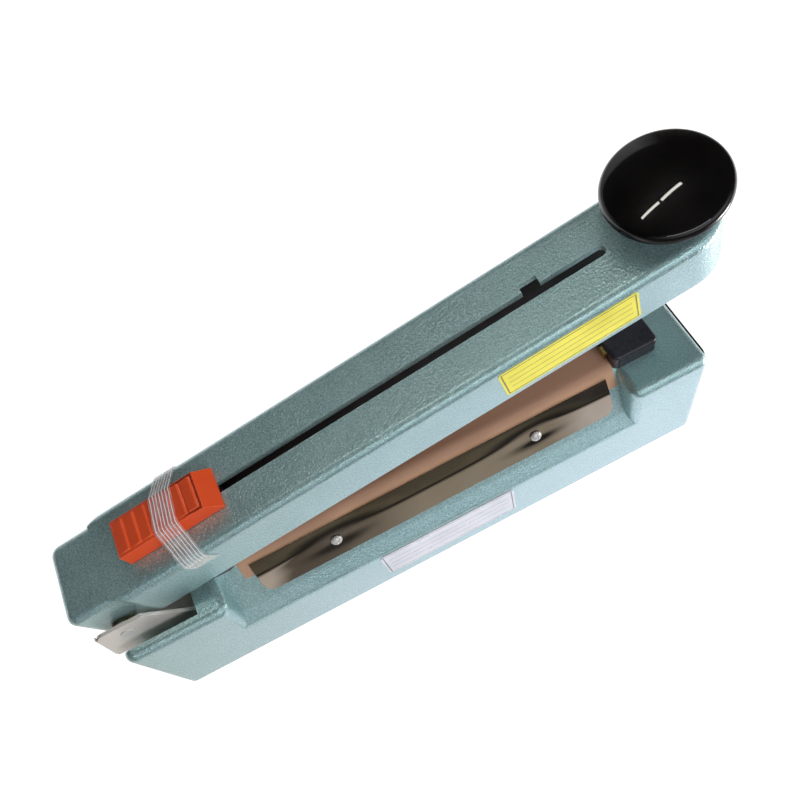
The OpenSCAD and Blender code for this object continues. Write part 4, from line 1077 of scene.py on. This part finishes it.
def dim_room():
    """Dome of a dim room, seen in gloss alone: a grey wall low behind the sealer, a pale one in front."""
    material, tree, shine = glow("dim_room")
    parts = node(tree, "SeparateXYZ", {0: object_spot(tree)}).outputs
    turn = math_node(tree, "ARCTAN2", parts[1], parts[0])
    rise = math_node(tree, "DIVIDE", parts[2], ROOM_R)
    wall = times(tree, between(tree, turn, *WALL_TURN), remap(tree, rise, 0.44, 0.4))
    front = times(tree, between(tree, turn, *FRONT_TURN), between(tree, rise, *FRONT_RISE))
    dark = blend(tree, remap(tree, rise, 0.25, 0), (0.008, 0.007, 0.006, 1), (0.045, 0.034, 0.024, 1))
    dark = blend(tree, front, dark, (0.85, 0.94, 1.05, 1))
    tree.links.new(blend(tree, wall, dark, (0.4, 0.39, 0.4, 1)), shine.inputs["Color"])
    columns, rows, caps = 72, 18, 2
    rings = []
    for row in range(rows + 1):
        lean = QUARTER * row / rows
        reach = max(math.cos(lean), 1e-3) * ROOM_R
        rings.append([(*heading(way) * reach, math.sin(lean) * ROOM_R) for way in full_turn(columns)])
    points, faces = lofted(rings)
    gloss_only(stage_piece("dim_room", points, faces[:-caps], material))


def table_gloss():
    """What gloss alone sees of the table in front: bright beside the sealer, then shaded, then dark."""
    material, tree, shine = glow("table_gloss")
    parts = node(tree, "SeparateXYZ", {0: object_spot(tree)}).outputs
    far = graded(tree, parts[0], (0.1, 0.088, 0.064, 1), [(0.2, 0.5, (0.022, 0.022, 0.025, 1))])
    shaded = graded(tree, parts[0], (0.1, 0.085, 0.07, 1), [
        (-0.07, 0, (0.26, 0.225, 0.18, 1)), (0.1, 0.135, (0.5, 0.45, 0.43, 1)),
        (-0.105, -0.12, (0.46, 0.41, 0.37, 1)), (0.16, 0.19, (0.03, 0.027, 0.024, 1))])
    beside = graded(tree, parts[0], (0.62, 0.62, 0.59, 1), [
        (-0.22, 0.02, (0.98, 1, 1.1, 1)), (0.02, 0.2, (1.12, 1.14, 1.26, 1))])
    tone = graded(tree, parts[1], far, [
        (-1.2, -0.5, (0.02, 0.018, 0.016, 1)), (-0.36, -0.2, shaded), (-0.15, -0.12, beside)])
    patch = times(tree, remap(tree, parts[0], 0.28, 0.32), remap(tree, parts[1], -0.4, -0.3))
    tree.links.new(blend(tree, patch, tone, (1, 0.98, 0.95, 1)), shine.inputs["Color"])
    gloss_only(stage_plane("table_gloss", (0, -1.9, 0.001), (3.9, 0, 0), (0, 1.9, 0), material))


def strip_light(name, start, end, half_wide, strength):
    """A strip light seen in gloss alone, from end to end, with its half width as a vector."""
    material, _, shine = glow(name, strength)
    shine.inputs["Color"].default_value = (1, 0.97, 0.9, 1)
    start, end = Vector(start), Vector(end)
    gloss_only(stage_plane(name, (start + end) / 2, (end - start) / 2, half_wide, material))


def world():
    """White behind everything, and a plain grey level as ambient light."""
    made = bpy.data.worlds.new("studio")
    tree = bare_tree(made)
    ambient = node(tree, "Background", {"Color": (0.97, 0.98, 1, 1), "Strength": 0.17})
    white = node(tree, "Background", {"Color": (1, 1, 1, 1), "Strength": 1.0})
    mixed = node(tree, "MixShader", {0: seen_directly(tree), 1: ambient.outputs[0], 2: white.outputs[0]})
    show(tree, mixed.outputs[0], "OutputWorld")
    bpy.context.scene.world = made


def soft_light(name, place, aim, size, power, colour=(1, 1, 1)):
    """A rectangular soft light that faces a point and leaves no shape of its own in gloss."""
    lamp = bpy.data.lights.new(name, "AREA")
    lamp.shape = "RECTANGLE"
    lamp.size, lamp.size_y = size
    lamp.energy = power
    lamp.color = colour
    holder = scene_object(name, lamp)
    holder.location = place
    holder.rotation_euler = (Vector(aim) - Vector(place)).to_track_quat("-Z", "Y").to_euler()
    holder.visible_glossy = False


def camera():
    """The photograph's viewpoint, worked out from the straight edges of the base and the arm."""
    lens = bpy.data.cameras.new("camera")
    lens.sensor_width = 36
    lens.lens = 35.92
    lens.shift_x = -0.0016
    lens.shift_y = 0.005
    lens.clip_start = 0.01
    holder = scene_object("camera", lens)
    holder.location = (-0.00548, -0.17504, 0.44704)
    holder.rotation_euler = [math.radians(angle) for angle in (25.938, 10.477, -25.424)]
    bpy.context.scene.camera = holder


bpy.context.scene.view_settings.view_transform = "Standard"
camera()
world()
floor()
dim_room()
table_gloss()
strip_light("tube_left", (-0.565, 0.16, 1.38), (-0.098, 0.185, 1.38), (-0.001, 0.028, 0), 15)
strip_light("tube_right", (-0.042, 0.19, 1.38), (0.426, 0.283, 1.38), (-0.005, 0.028, 0), 15)
strip_light("front_strip", (-0.7, -1.07, 0.98), (0.7, -1.07, 0.98), (0, 0.032, 0.038), 6)
strip_light("window_glint", (0.326, -0.177, 0.04), (0.384, -0.095, 0.04), (0.02, -0.014, 0.025), 14)
soft_light("front_softbox", (0.47, -1.02, 0.73), (0, 0, 0.08), (0.9, 0.6), 14, (0.97, 0.99, 1.04))
soft_light("side_window", (1.3, -0.5, 1.2), (0.1, 0, 0.12), (0.8, 0.8), 2.5)
soft_light("back_light", (0.2, 1, 0.95), (0, 0, 0.1), (1, 0.5), 5)
